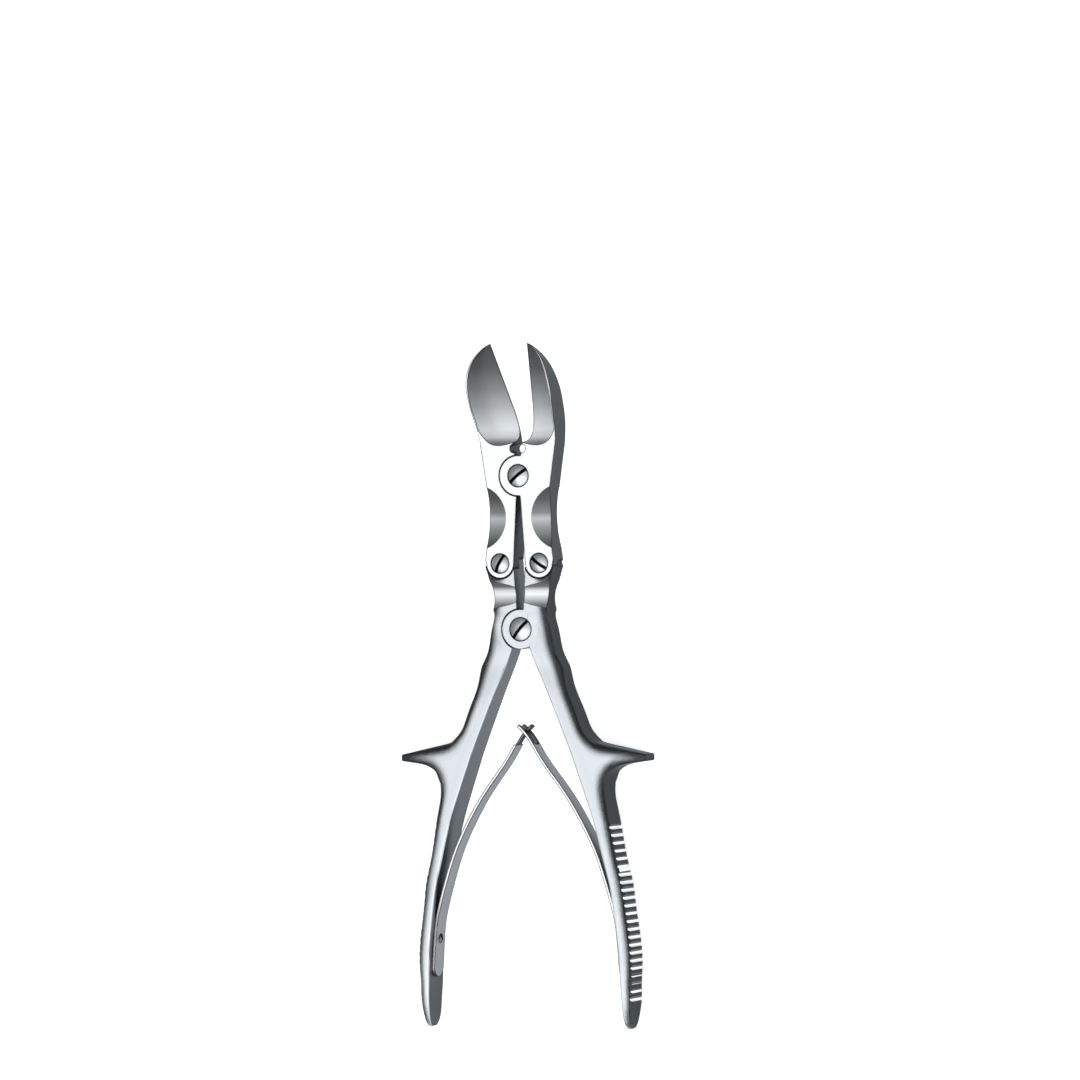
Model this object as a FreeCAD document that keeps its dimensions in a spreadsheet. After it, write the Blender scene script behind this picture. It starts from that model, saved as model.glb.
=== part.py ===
"""Double action bone cutting forceps, curved on the flat, 270 mm long.

Two cutting jaws turn on the jaw pivot and two handles turn on the handle pivot. Each jaw's tail
is linked to the arm of the handle on its own side, so squeezing the handles spreads the tails and
closes the blades. All four pivots are half laps held by slotted screws. Two leaf springs, one
ending in a tongue and one in a fork, push the handles apart.

The forceps lies on its back. X is across, Y runs from the handles to the blade tips, Z is up.
The origin is on the axis of the handle pivot, in the plane of the joint's back face.
The jaws and handles stand open, as they are at rest.
"""
import FreeCAD, Part
import math
import os
from FreeCAD import Placement, Rotation, Vector

doc = FreeCAD.newDocument("BoneCuttingForceps")
sheet = doc.addObject("Spreadsheet::Sheet", "sizes")

SIZES = (
    ("joint_thickness", 10.0, "thickness of jaws and handles at the pivots"),
    ("jaw_pivot_reach", 60.6, "from the handle pivot to the jaw pivot"),
    ("link_reach", 26.05, "from the handle pivot to the link screws, along the forceps"),
    ("link_side", 8.32, "from the middle line to each link screw, at rest"),
    ("blade_open_angle", 8.5, "from the closing plane to each cutting edge, at rest"),
    ("jaw_ring_radius", 8.0, "round lap of each jaw about the jaw pivot"),
    ("handle_ring_radius", 7.95, "round lap of each handle about the handle pivot"),
    ("link_ring_radius", 5.85, "round lap of each tail and arm about its link screw"),
    ("lap_gap", 0.1, "running gap between the two layers of a lap"),
    ("ring_gap", 0.15, "gap round the laps of the two main pivots"),
    ("link_gap", 0.3, "gap round the laps of the link screws"),
    ("bearing_gap", 0.05, "radial play of a screw in the layer that turns on it"),
    ("open_pivot_gap", 0.15, "radial play of the right link screw in the right tail"),
    ("thread_gap", 0.02, "radial room between a screw and the layer that it is screwed into"),
    ("jaw_length", 52.7, "from the jaw pivot to the blade tip"),
    ("blade_width", 14.1, "from the closing plane to the outside of a jaw"),
    ("blade_rise_angle", 28.8, "rise of the straight part of the cutting edge"),
    ("blade_tip_height", 17.2, "height of the cutting edge at the tip"),
    ("blade_crown_height", 20.1, "highest point of the blade's outer rim"),
    ("heel_bend", 6.5, "length of the bend on the back of the blade, each way from its corner"),
    ("closing_gap", 0.05, "from each cutting edge to the closing plane when shut"),
    ("edge_thickness", 0.2, "blunt width of the cutting edge"),
    ("scoop_start", 13.5, "from the jaw pivot to the lower end of the hollow grinding"),
    ("relief_radius", 1.7, "relief hole at the foot of the cutting edges"),
    ("relief_reach", 10.9, "from the jaw pivot to the relief hole"),
    ("tail_gap_reach", 9.3, "from the jaw pivot to the start of the slot between the tails"),
    ("tail_gap_side", 2.3, "half width of that slot at its start"),
    ("tail_sag", 0.7, "hollow of the tail's outer edge"),
    ("shoulder_proud", 0.45, "how far the shoulders stand out past the link laps"),
    ("shoulder_notch", 2.7, "height of the notch between tail and arm, at its mouth"),
    ("cove_radius", 13.0, "outline radius of the hollows in the tails"),
    ("cove_reach", 44.2, "from the handle pivot to the middle of those hollows"),
    ("cove_side", 18.4, "from the middle line to the middle of those hollows"),
    ("cove_depth", 2.1, "depth of those hollows at the tail's outer edge"),
    ("neck_side", 11.4, "half width of the joint at its neck"),
    ("neck_reach", 8.0, "from the handle pivot to that neck"),
    ("arm_gap_side", 1.4, "half width of the slot between the arms, above the handle pivot"),
    ("trough_radius", 9.0, "radius of the hollow across the arms"),
    ("trough_reach", 13.6, "from the handle pivot to the middle of that hollow"),
    ("trough_depth", 0.3, "depth of that hollow on the middle line"),
    ("trough_tilt", 6.9, "fall of that hollow towards the outside"),
    ("handle_length", 157.3, "from the handle pivot to the ends of the grips"),
    ("grip_side", 45.7, "half width across the grips"),
    ("grip_depth", 15.0, "depth of the grips, front to back"),
    ("outer_round", 3.2, "rounding of the grip's outer corners"),
    ("inner_round", 0.8, "rounding of the grip's inner corners"),
    ("horn_side", 52.3, "half width across the finger stops"),
    ("horn_depth", 9.4, "depth of a finger stop at its tip"),
    ("horn_sink", 0.06, "how far a finger stop's faces lie below the handle's at its root"),
    ("groove_count", 23, "grooves on the outside of each grip"),
    ("groove_first", 77.8, "from the handle pivot to the first groove"),
    ("groove_pitch", 3.07, "distance from one groove to the next"),
    ("groove_radius", 1.1, "radius of each groove"),
    ("groove_cut", 0.55, "depth of each groove"),
    ("spring_thickness", 1.2, "thickness of the leaf springs"),
    ("spring_width", 9.0, "width of a spring where it is screwed on"),
    ("spring_tip_width", 6.2, "width of a spring at its free end"),
    ("spring_end_inset", 19.5, "from the end of a grip up to the lower end of its spring"),
    ("spring_tip_reach", 38.1, "from the handle pivot to the upper ends of the springs"),
    ("spring_seat_lead", 5.2, "from where a spring meets its grip to its screw"),
    ("spring_seat_gap", 0.1, "between a spring and the grip that it lies on"),
    ("tongue_width", 2.6, "width of the tongue on the left spring"),
    ("fork_gap", 0.3, "room for the tongue in the fork, each side"),
    ("fork_reach", 45.5, "from the handle pivot to the foot of fork and tongue"),
    ("spring_screw_inset", 15.4, "from the lower end of a spring up to its screw"),
    ("jaw_screw_head", 8.6, "head diameter of the jaw pivot screw"),
    ("handle_screw_head", 9.0, "head diameter of the handle pivot screw"),
    ("link_screw_head", 7.5, "head diameter of the link screws"),
    ("spring_screw_head", 4.0, "head diameter of the spring screws"),
    ("pivot_shank", 5.0, "shank diameter of the two pivot screws"),
    ("link_shank", 4.2, "shank diameter of the link screws"),
    ("spring_shank", 2.4, "shank diameter of the spring screws"),
    ("spring_screw_depth", 3.0, "how deep a spring screw goes into its grip"),
    ("head_sink", 1.0, "depth of the seat that a screw head lies in"),
    ("head_gap", 0.1, "radial room round a screw head in its seat"),
    ("head_dome", 1.5, "height of the domed part of a screw head"),
    ("head_edge", 0.8, "height of the straight edge of a screw head"),
    ("slot_width", 0.7, "width of the screwdriver slots"),
    ("slot_depth", 1.1, "depth of the screwdriver slots"),
    ("spring_dome", 0.8, "height of the domed part of a spring screw's head"),
    ("spring_slot_width", 0.6, "width of the slot in a spring screw"),
    ("spring_slot_depth", 0.45, "depth of the slot in a spring screw"),
    ("end_recess", 0.2, "how far the screw ends stay in from the back face"),
)

for row, (alias, value, meaning) in enumerate(SIZES, start=1):
    sheet.set("A%d" % row, alias)
    sheet.set("B%d" % row, str(value))
    sheet.set("C%d" % row, meaning)
    sheet.setAlias("B%d" % row, alias)
doc.recompute()


def size(alias):
    """The number in a cell of the sheet."""
    return float(sheet.get(alias))


# Shares of the sizes above that give the curved outlines
# Outside of a blade: share of the blade's width, share of the jaw's length, from tip to heel
BLADE_OUTLINE = ((0.166, 0.985), (0.365, 0.951), (0.647, 0.870), (0.801, 0.786), (0.902, 0.696),
                 (0.945, 0.609), (0.979, 0.429), (1.0, 0.28))
# Outer rim seen from the side: share of the jaw's length, share of the way from joint to crown
RIM_OUTLINE = ((0.30, 0.0), (0.40, 0.17), (0.52, 0.51), (0.643, 0.80), (0.825, 1.0), (0.947, 0.87))
# Hollow grinding, columns of poles from the cutting edge outwards: share of the blade's width, lean
# of the heel towards the tip (share of that width), height (share of the way from edge to rim)
SCOOP_COLUMNS = ((0.0, 0.0, 0.0), (0.25, -0.03, 0.03), (0.52, -0.03, 0.13), (0.80, 0.12, 0.38),
                 (0.97, 0.45, 0.95), (1.08, 0.85, 1.50))
# Heel wall, rows of poles: distance past the scoop's start (share of the blade's width), height
# (share of the joint's thickness)
SCOOP_WALL = ((-0.12, 2.4), (-0.04, 1.4), (0.01, 0.62), (0.12, 0.16))
# Floor, rows of poles: way from the start to the tip, rise of the outer edge above the rim (share
# of the joint's thickness)
SCOOP_FLOOR = ((0.14, 0.10), (0.23, 0.08), (0.34, 0.06), (0.47, 0.08), (0.60, 0.12), (0.72, 0.15),
               (0.83, 0.15), (0.91, 0.14), (0.96, 0.10), (0.99, 0.06), (1.03, 0.05))
# Sections beside the handle pivot: place (share of the way from the pivot up to the neck),
# inner side, outer side (shares of the grip side), share of the corner rounding
NECK_SECTIONS = (
    (0.8750, 0.075, 0.2505, 0.16),
    (0.2497, 0.057, 0.2650, 0.32),
    (-0.4994, 0.062, 0.2980, 0.52),
)
# Handle sections: reach, inner side, outer side (shares of handle length and grip side),
# swell from joint thickness to grip depth, taper of the end, share of the corner rounding
HANDLE_SECTIONS = (
    (0.078, 0.120, 0.359, 0.05, 1.00, 0.70),
    (0.127, 0.196, 0.411, 0.20, 1.00, 0.78),
    (0.198, 0.304, 0.499, 0.44, 1.00, 0.80),
    (0.235, 0.357, 0.546, 0.51, 1.00, 0.80),
    (0.257, 0.389, 0.585, 0.55, 1.00, 0.80),
    (0.275, 0.414, 0.641, 0.58, 1.00, 0.80),
    (0.296, 0.443, 0.712, 0.62, 1.00, 0.80),
    (0.319, 0.475, 0.757, 0.66, 1.00, 0.80),
    (0.347, 0.509, 0.779, 0.71, 1.00, 0.80),
    (0.375, 0.544, 0.782, 0.75, 1.00, 0.82),
    (0.404, 0.579, 0.776, 0.81, 1.00, 0.86),
    (0.439, 0.622, 0.790, 0.88, 1.00, 0.92),
    (0.519, 0.704, 0.842, 1.00, 1.00, 1.00),
    (0.599, 0.774, 0.897, 1.00, 1.00, 1.00),
    (0.680, 0.832, 0.945, 1.00, 1.00, 0.95),
    (0.760, 0.868, 0.982, 1.00, 1.00, 0.95),
    (0.840, 0.890, 1.000, 1.00, 1.00, 0.90),
    (0.921, 0.902, 0.990, 0.90, 0.97, 0.75),
    (0.961, 0.906, 0.975, 0.80, 0.88, 0.55),
    (0.989, 0.912, 0.962, 0.60, 0.66, 0.36),
    (1.000, 0.920, 0.948, 0.50, 0.36, 0.16),
)
# Where a finger stop starts inside its handle, as a share of the grip side
HORN_ROOT = 0.536
# Finger stop sections: way from root to tip, reach of upper and lower edge (shares of the handle
# length), way from the handle's depth to the tip's depth, share of the corner rounding
HORN_SECTIONS = (
    (0.000, 0.2638, 0.3497, 0.45, 0.47),
    (0.047, 0.2607, 0.3655, 0.00, 0.72),
    (0.108, 0.2651, 0.3814, 0.00, 0.78),
    (0.180, 0.2778, 0.3910, 0.00, 0.78),
    (0.270, 0.2854, 0.3916, 0.00, 0.78),
    (0.342, 0.2886, 0.3967, 0.00, 0.76),
    (0.396, 0.2907, 0.3853, 0.01, 0.74),
    (0.450, 0.2928, 0.3617, 0.04, 0.70),
    (0.522, 0.2954, 0.3497, 0.10, 0.64),
    (0.612, 0.2988, 0.3420, 0.22, 0.56),
    (0.737, 0.3036, 0.3369, 0.45, 0.45),
    (0.863, 0.3083, 0.3338, 0.72, 0.34),
    (0.932, 0.3109, 0.3322, 0.86, 0.30),
    (1.000, 0.3134, 0.3306, 1.00, 0.27),
)
# Free part of a leaf spring's middle line, from its tip down: share of the way from the spring's
# tip to its seat, distance from the grip as a share of the grip's side at the spring's tip
SPRING_LINE = ((0.0, 1.155), (0.037, 1.046), (0.154, 0.905), (0.314, 0.612), (0.474, 0.387),
               (0.633, 0.220), (0.794, 0.137), (0.909, 0.077))


def bind(item, expressions):
    """Tie properties of an object to cells of the sheet."""
    for name, expression in expressions.items():
        item.setExpression(name, expression)
    return item


def cylinder(name, radius, height, x, y, z):
    """An upright cylinder whose sizes and place are expressions."""
    item = doc.addObject("Part::Cylinder", name)
    return bind(item, {"Radius": radius, "Height": height, "Placement.Base.x": x,
                       "Placement.Base.y": y, "Placement.Base.z": z})


def fused(name, parts):
    item = doc.addObject("Part::MultiFuse", name)
    item.Shapes = parts
    item.Refine = True
    return item


def cut(name, base, tools):
    item = doc.addObject("Part::Cut", name)
    item.Base = base
    item.Tool = tools[0] if len(tools) == 1 else fused(name + "_tools", tools)
    item.Refine = True
    return item


def common(name, first, second):
    item = doc.addObject("Part::Common", name)
    item.Base = first
    item.Tool = second
    return item


def mirrored(name, source):
    """The same shape for the other side of the middle plane."""
    item = doc.addObject("Part::Mirroring", name)
    item.Source = source
    item.Normal = Vector(1, 0, 0)
    return item


def formed(name, shape):
    """A free form, made from the outlines above."""
    item = doc.addObject("Part::Feature", name)
    item.Shape = shape
    return item


def prism(name, edges, direction, length):
    """A closed outline pushed along a direction, by an expression's length."""
    base = formed(name + "_outline", Part.Face(Part.Wire(Part.__sortEdges__(edges))))
    item = doc.addObject("Part::Extrusion", name)
    item.Base = base
    item.DirMode = "Custom"
    item.Dir = direction
    item.Solid = True
    return bind(item, {"LengthFwd": length})


def line(start, end):
    return Part.LineSegment(start, end).toShape()


def spline(points):
    curve = Part.BSplineCurve()
    curve.interpolate(points)
    return curve


def polyline(points):
    return [line(a, b) for a, b in zip(points, points[1:])]


def tangent_point(start, centre, radius, side):
    """Where the line from start touches a circle, on the side given by the sign."""
    reach = centre - start
    turn = math.degrees(math.asin(radius / reach.Length)) * side
    length = math.sqrt(reach.Length ** 2 - radius ** 2)
    return start + Rotation(Vector(0, 0, 1), turn).multVec(reach.normalize()) * length


# Places that several pieces share
thickness = size("joint_thickness")
MARGIN = 30.0
# Share of the jaw's length where the scoop's sheet stops narrowing with the blade
TIP_SHARE = 0.985
# Short steps that a rounded corner of a section is made of
CORNER_STEPS = 4
# Places where a leaf spring touches the grip that it lies on
SEAT_STEPS = 5
UP = Vector(0, 0, 1)
LOWER_TOP = "sizes.joint_thickness / 2 - sizes.lap_gap / 2"
UPPER_FLOOR = "sizes.joint_thickness / 2 + sizes.lap_gap / 2"
LAYER = "sizes.joint_thickness / 2 - sizes.lap_gap / 2"
PIVOT_DROP = "(sizes.jaw_pivot_reach - sizes.link_reach)"
TAIL_X = "sizes.link_side * cos(sizes.blade_open_angle) + " + PIVOT_DROP + " * sin(sizes.blade_open_angle)"
TAIL_Y = "sizes.link_side * sin(sizes.blade_open_angle) - " + PIVOT_DROP + " * cos(sizes.blade_open_angle)"
jaw_place = Placement(Vector(0, size("jaw_pivot_reach"), 0), Rotation(UP, -size("blade_open_angle")))
link_pin = Vector(size("link_side"), size("link_reach"), 0)


def in_jaw(point):
    """A place on the forceps at rest, seen from the right jaw's own frame."""
    return jaw_place.inverse().multVec(point)


# Jaw, in its own frame: pivot at the origin, closing plane at X = 0, blade along Y
def back_outline():
    """Back of the jaw from the side: flat joint, bend, straight rise to the tip."""
    rise = math.radians(size("blade_rise_angle"))
    tip = Vector(0, size("jaw_length"), size("blade_tip_height"))
    corner = tip.y - tip.z / math.tan(rise)
    start = Vector(0, corner - size("heel_bend"), 0)
    end = Vector(0, corner + size("heel_bend") * math.cos(rise), size("heel_bend") * math.sin(rise))
    radius = size("heel_bend") / math.tan(rise / 2)
    middle = Vector(0, start.y + radius * math.sin(rise / 2), radius * (1 - math.cos(rise / 2)))
    return start, middle, end, tip


def back_height(y):
    """Height of the jaw's back face at a distance from the pivot."""
    start, middle, end, tip = back_outline()
    rise = math.radians(size("blade_rise_angle"))
    if y <= start.y:
        return 0.0
    if y >= end.y:
        return end.z + (y - end.y) * math.tan(rise)
    radius = size("heel_bend") / math.tan(rise / 2)
    return radius - math.sqrt(radius ** 2 - (y - start.y) ** 2)


def rim_points():
    crown = size("blade_crown_height") - thickness
    length = size("jaw_length")
    points = [Vector(0, y * length, thickness + z * crown) for y, z in RIM_OUTLINE]
    tip = Vector(0, length, size("blade_tip_height") + size("edge_thickness"))
    return points + [tip]


def jaw_side():
    """Jaw from the side, pushed across its width."""
    start, middle, end, tip = back_outline()
    rim = rim_points()
    low = -size("jaw_pivot_reach")
    edges = [line(Vector(0, low, 0), start), Part.Arc(start, middle, end).toShape(), line(end, tip)]
    edges += [line(tip, rim[-1]), spline(rim).toShape()]
    edges += polyline([rim[0], Vector(0, low, thickness), Vector(0, low, 0)])
    return prism("jaw_side", edges, Vector(1, 0, 0), "2 * sizes.blade_width")


def blade_outline():
    width = size("blade_width")
    length = size("jaw_length")
    points = [Vector(x * width, y * length, 0) for x, y in BLADE_OUTLINE]
    return [Vector(size("closing_gap"), length, 0)] + points


def jaw_plan():
    """Jaw from above: blade, waist, tail and the shoulder over its link lap."""
    outside = blade_outline()
    waist = Vector(size("blade_width"), -size("jaw_ring_radius") / 2, 0)
    mouth = link_pin + Vector(size("link_ring_radius"), 0, 0)
    shoulder = in_jaw(mouth + Vector(size("shoulder_proud"), size("shoulder_notch") / 2, 0))
    pin = in_jaw(link_pin)
    slot_start = Vector(size("tail_gap_side"), -size("tail_gap_reach"), 0)
    slot_end = tangent_point(slot_start, pin, size("link_ring_radius"), -1)
    chord = shoulder - waist
    hollow = (waist + shoulder) / 2 - chord.cross(UP).normalize() * -size("tail_sag")
    edges = [spline(outside).toShape(), line(outside[-1], waist)]
    edges += [Part.Arc(waist, hollow, shoulder).toShape()]
    edges += polyline([shoulder, in_jaw(mouth), pin, slot_end, slot_start,
                       Vector(size("closing_gap"), 0, 0), outside[0]])
    plan = prism("jaw_plan", edges, UP, "sizes.blade_crown_height + %f" % MARGIN)
    plan.Base.Placement.Base.z = -MARGIN / 2
    return plan


def scoop():
    """Hollow grinding: a smooth sheet from the cutting edge up to the outer rim, with a rounded
    wall at its heel. All above the sheet is ground away."""
    length = size("jaw_length")
    width = size("blade_width")
    start = size("scoop_start")
    outside = spline(blade_outline())
    rim = spline(rim_points())
    rows = []
    for past, height in SCOOP_WALL:
        row = []
        for share, lean, climb in SCOOP_COLUMNS:
            y = start + (past + lean) * width
            foot = height * thickness
            top = height_at(rim, max(y, rim_points()[0].y))
            row.append(Vector(share * width, y, foot + climb * max(0.0, top - foot)))
        rows.append(row)
    for way, rise in SCOOP_FLOOR:
        row = []
        for share, lean, climb in SCOOP_COLUMNS:
            y = start + way * (length - start) + lean * width * max(0.0, 1 - way) ** 2
            edge = back_height(y) + size("edge_thickness")
            top = height_at(rim, min(y, length)) + rise * thickness
            row.append(Vector(share * width_at(outside, min(y, length * TIP_SHARE)), y,
                              edge + climb * (top - edge)))
        rows.append(row)
    return formed("scoop", pole_surface(rows).extrude(Vector(0, 0, 2 * MARGIN)))


def pole_surface(rows):
    """A smooth surface drawn to a grid of poles, cubic both ways."""
    surface = Part.BSplineSurface()
    across = len(rows[0])
    surface.buildFromPolesMultsKnots(rows, clamped(len(rows)), clamped(across),
                                     list(range(len(rows) - 2)), list(range(across - 2)),
                                     False, False, 3, 3)
    return surface.toShape()


def clamped(count):
    """Knot multiplicities of a cubic that starts and ends on its first and last poles."""
    return [4] + [1] * (count - 4) + [4]


def station(curve, value, axis):
    """The point of a curve that runs one way along an axis, where it reaches a value."""
    low, high = curve.FirstParameter, curve.LastParameter
    rising = getattr(curve.value(high), axis) > getattr(curve.value(low), axis)
    for step in range(40):
        middle = (low + high) / 2
        if (getattr(curve.value(middle), axis) < value) == rising:
            low = middle
        else:
            high = middle
    return curve.value((low + high) / 2)


def width_at(curve, y):
    return station(curve, y, "y").x


def height_at(curve, y):
    return station(curve, y, "y").z


def cove(name, upward):
    """A ball that grinds the hollow in a tail, from the front or from the back."""
    ball = doc.addObject("Part::Sphere", name)
    middle = Vector(size("cove_side"), size("cove_reach"), 0)
    inset = size("cove_side") - size("blade_width") + size("shoulder_proud")
    depth = size("cove_depth")
    lift = (size("cove_radius") ** 2 - inset ** 2 - depth ** 2) / (2 * depth)
    ball.Radius = math.sqrt(size("cove_radius") ** 2 + lift ** 2)
    place = in_jaw(middle)
    place.z = thickness + lift if upward else -lift
    ball.Placement = Placement(place, Rotation())
    return ball


def jaw_blank():
    """What both jaws have alike, before their laps are cut."""
    block = common("jaw_block", jaw_plan(), jaw_side())
    relief = cylinder("relief_hole", "sizes.relief_radius", "sizes.joint_thickness * 3",
                      "0", "sizes.relief_reach", "-sizes.joint_thickness")
    return cut("jaw_blank", block, [scoop(), relief, cove("front_cove", True), cove("back_cove", False)])


def lap_pocket(name, radius, gap, x, y, upper):
    """Room for the neighbour's lap in one of the two layers."""
    floor = LOWER_TOP if upper else "-sizes.joint_thickness"
    height = "sizes.joint_thickness" if upper else UPPER_FLOOR + " + sizes.joint_thickness"
    return cylinder(name, "sizes.%s + sizes.%s" % (radius, gap), height, x, y, floor)


def lap_disc(name, radius, x, y, upper):
    """The round lap itself, half the joint thick."""
    return cylinder(name, "sizes." + radius, LAYER, x, y, UPPER_FLOOR if upper else "0")


def screw_hole(name, shank, gap, x, y):
    return cylinder(name, "sizes.%s / 2 + sizes.%s" % (shank, gap), "sizes.joint_thickness * 3",
                    x, y, "-sizes.joint_thickness")


def head_seat(name, head, x, y):
    return cylinder(name, "sizes.%s / 2 + sizes.head_gap" % head, "sizes.joint_thickness", x, y,
                    "sizes.joint_thickness - sizes.head_sink")


def make_jaw(name, blank, side, in_front, link_play):
    """A jaw with its ring lap at the jaw pivot and its tail's lap at the link screw."""
    tail_x = "%d * (%s)" % (side, TAIL_X)
    pockets = [
        lap_pocket(name + "_ring_pocket", "jaw_ring_radius", "ring_gap", "0", "0", not in_front),
        lap_pocket(name + "_link_pocket", "link_ring_radius", "link_gap", tail_x, TAIL_Y, False),
    ]
    discs = [
        lap_disc(name + "_ring", "jaw_ring_radius", "0", "0", in_front),
        lap_disc(name + "_link_lap", "link_ring_radius", tail_x, TAIL_Y, True),
    ]
    body = fused(name + "_body", [cut(name + "_pocketed", blank, pockets)] + discs)
    holes = [
        screw_hole(name + "_link_hole", "link_shank", link_play, tail_x, TAIL_Y),
        head_seat(name + "_link_seat", "link_screw_head", tail_x, TAIL_Y),
    ]
    if in_front:
        holes.append(screw_hole(name + "_pivot_hole", "pivot_shank", "bearing_gap", "0", "0"))
        holes.append(head_seat(name + "_pivot_seat", "jaw_screw_head", "0", "0"))
    else:
        holes.append(screw_hole(name + "_pivot_hole", "pivot_shank", "thread_gap", "0", "0"))
    jaw = cut(name, body, holes)
    jaw.Placement = Placement(jaw_place.Base, Rotation(UP, -side * size("blade_open_angle")))
    return jaw


# Handle, drawn for the right side where it stands at rest
def rounded_wire(corners, radii):
    """A closed section with straight sides, its corners rounded in short steps."""
    points = []
    for number, (corner, radius) in enumerate(zip(corners, radii)):
        back = (corners[number - 1] - corner).normalize() * radius
        ahead = (corners[(number + 1) % len(corners)] - corner).normalize() * radius
        for step in range(CORNER_STEPS + 1):
            angle = math.pi / 2 * step / CORNER_STEPS
            points.append(corner + back * (1 - math.sin(angle)) + ahead * (1 - math.cos(angle)))
    return Part.makePolygon(points + points[:1])


def grip_half_depth(swell, taper):
    return (thickness + (size("grip_depth") - thickness) * swell) * taper / 2


def handle_rows():
    """All sections from the neck to the end: distance up from the pivot, inner and outer side,
    half depth and share of the corner rounding."""
    side = size("grip_side")
    rows = [(place * size("neck_reach"), inner * side, outer * side, thickness / 2, rounding)
            for place, inner, outer, rounding in NECK_SECTIONS]
    rows += [(-reach * size("handle_length"), inner * side, outer * side,
              grip_half_depth(swell, taper), rounding)
             for reach, inner, outer, swell, taper, rounding in HANDLE_SECTIONS]
    return rows


def grip_section(y, inner, outer, depth, rounding):
    """One cross section of the handle: well rounded outside, narrowly inside."""
    low = Vector(inner, y, 0)
    high = Vector(outer, y, 0)
    half = Vector(0, 0, depth)
    middle = Vector(0, 0, thickness / 2)
    corners = [low + middle - half, high + middle - half, high + middle + half, low + middle + half]
    outside = size("outer_round") * rounding
    inside = size("inner_round") * rounding
    return rounded_wire(corners, [inside, outside, outside, inside])


def depth_line():
    """Half the handle's depth along its length."""
    return spline([Vector(depth, y, 0) for y, inner, outer, depth, rounding in handle_rows()])


def horn_section(way, top, bottom, thinning, rounding):
    """One cross section of a finger stop, across the forceps: flush with the handle at its root."""
    root = HORN_ROOT * size("grip_side")
    x = root + way * (size("horn_side") - root)
    depth = depth_line()
    corners = []
    for reach, sign in ((top, -1), (bottom, -1), (bottom, 1), (top, 1)):
        y = -reach * size("handle_length")
        flush = width_at(depth, y) - size("horn_sink")
        half = flush + (size("horn_depth") / 2 - flush) * thinning
        corners.append(Vector(x, y, thickness / 2 + sign * half))
    return rounded_wire(corners, [size("outer_round") * rounding] * len(corners))


def inner_line():
    """The handle's inner side below the joint."""
    return spline([Vector(inner, y, 0) for y, inner, *rest in handle_rows()])


def outer_line():
    return spline([Vector(outer, y, 0) for y, inner, outer, *rest in handle_rows()])


def arm_plan():
    """The handle's flat joint part from above, down to where its edges begin to be rounded."""
    y, inner, outer = handle_rows()[0][:3]
    root = Vector(outer, y, 0)
    mouth = link_pin + Vector(size("link_ring_radius"), 0, 0)
    shoulder = mouth + Vector(size("shoulder_proud"), -size("shoulder_notch") / 2, 0)
    neck = Vector(size("neck_side"), size("neck_reach"), 0)
    above = Vector((shoulder.x + 3 * neck.x) / 4, (shoulder.y + neck.y) / 2, 0)
    slot_start = Vector(size("arm_gap_side"), size("handle_ring_radius") * 1.2, 0)
    slot_end = tangent_point(slot_start, link_pin, size("link_ring_radius"), 1)
    edges = [spline([shoulder, above, neck, root]).toShape()]
    edges += polyline([root, Vector(size("arm_gap_side"), root.y, 0), slot_start, slot_end,
                       link_pin, mouth, shoulder])
    return prism("arm_plan", edges, UP, "sizes.joint_thickness")


def trough(name, upward):
    """A hollow across the arm that deepens and widens towards the outside."""
    roller = doc.addObject("Part::Cylinder", name)
    tilt = size("trough_tilt") if upward else -size("trough_tilt")
    rise = size("trough_radius") - size("trough_depth")
    bind(roller, {"Radius": "sizes.trough_radius", "Height": "sizes.grip_side"})
    across = Rotation(Vector(0, 1, 0), 90 + tilt)
    height = thickness + rise if upward else -rise
    roller.Placement = Placement(Vector(0, size("trough_reach"), height), across)
    return roller


def grooves():
    """The grip's cross grooves, cut into its outer side."""
    side = outer_line()
    tools = []
    for number in range(int(size("groove_count"))):
        reach = size("groove_first") + number * size("groove_pitch")
        x = width_at(side, -reach) + size("groove_radius") - size("groove_cut")
        groove = cylinder("groove_%02d" % (number + 1), "sizes.groove_radius", "3 * sizes.grip_depth",
                          "%f" % x, "-sizes.groove_first - %d * sizes.groove_pitch" % number,
                          "-sizes.grip_depth")
        tools.append(groove)
    return tools


def spring_end():
    """From the handle pivot to the lower ends of the springs."""
    return size("handle_length") - size("spring_end_inset")


def spring_screw_reach():
    return spring_end() - size("spring_screw_inset")


def spring_screw_frame():
    """Where a spring screw's axis meets the right grip, pointing out of the inner face."""
    side = inner_line()
    place = station(side, -spring_screw_reach(), "y")
    parameter = side.parameter(place)
    along = side.tangent(parameter)[0]
    outward = along.cross(UP)
    if outward.x > 0:
        outward = -outward
    return Placement(Vector(place.x, place.y, thickness / 2), Rotation(UP, outward))


def handle_blank():
    """What both handles have alike, before their laps are cut."""
    sections = [grip_section(*row) for row in handle_rows()]
    shank = formed("grip", Part.makeLoft(sections, True, False))
    horn = formed("finger_stop", Part.makeLoft([horn_section(*row) for row in HORN_SECTIONS], True, False))
    arm = cut("arm", arm_plan(), [trough("front_trough", True), trough("back_trough", False)])
    whole = fused("handle_whole", [arm, shank, horn])
    bore = doc.addObject("Part::Cylinder", "spring_screw_bore")
    bind(bore, {"Radius": "sizes.spring_shank / 2 + sizes.thread_gap",
                "Height": "2 * (sizes.spring_screw_depth + sizes.thread_gap)"})
    frame = spring_screw_frame()
    deep = Placement(Vector(0, 0, -size("spring_screw_depth") - size("thread_gap")), Rotation())
    bore.Placement = frame.multiply(deep)
    return cut("handle_blank", whole, grooves() + [bore])


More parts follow.
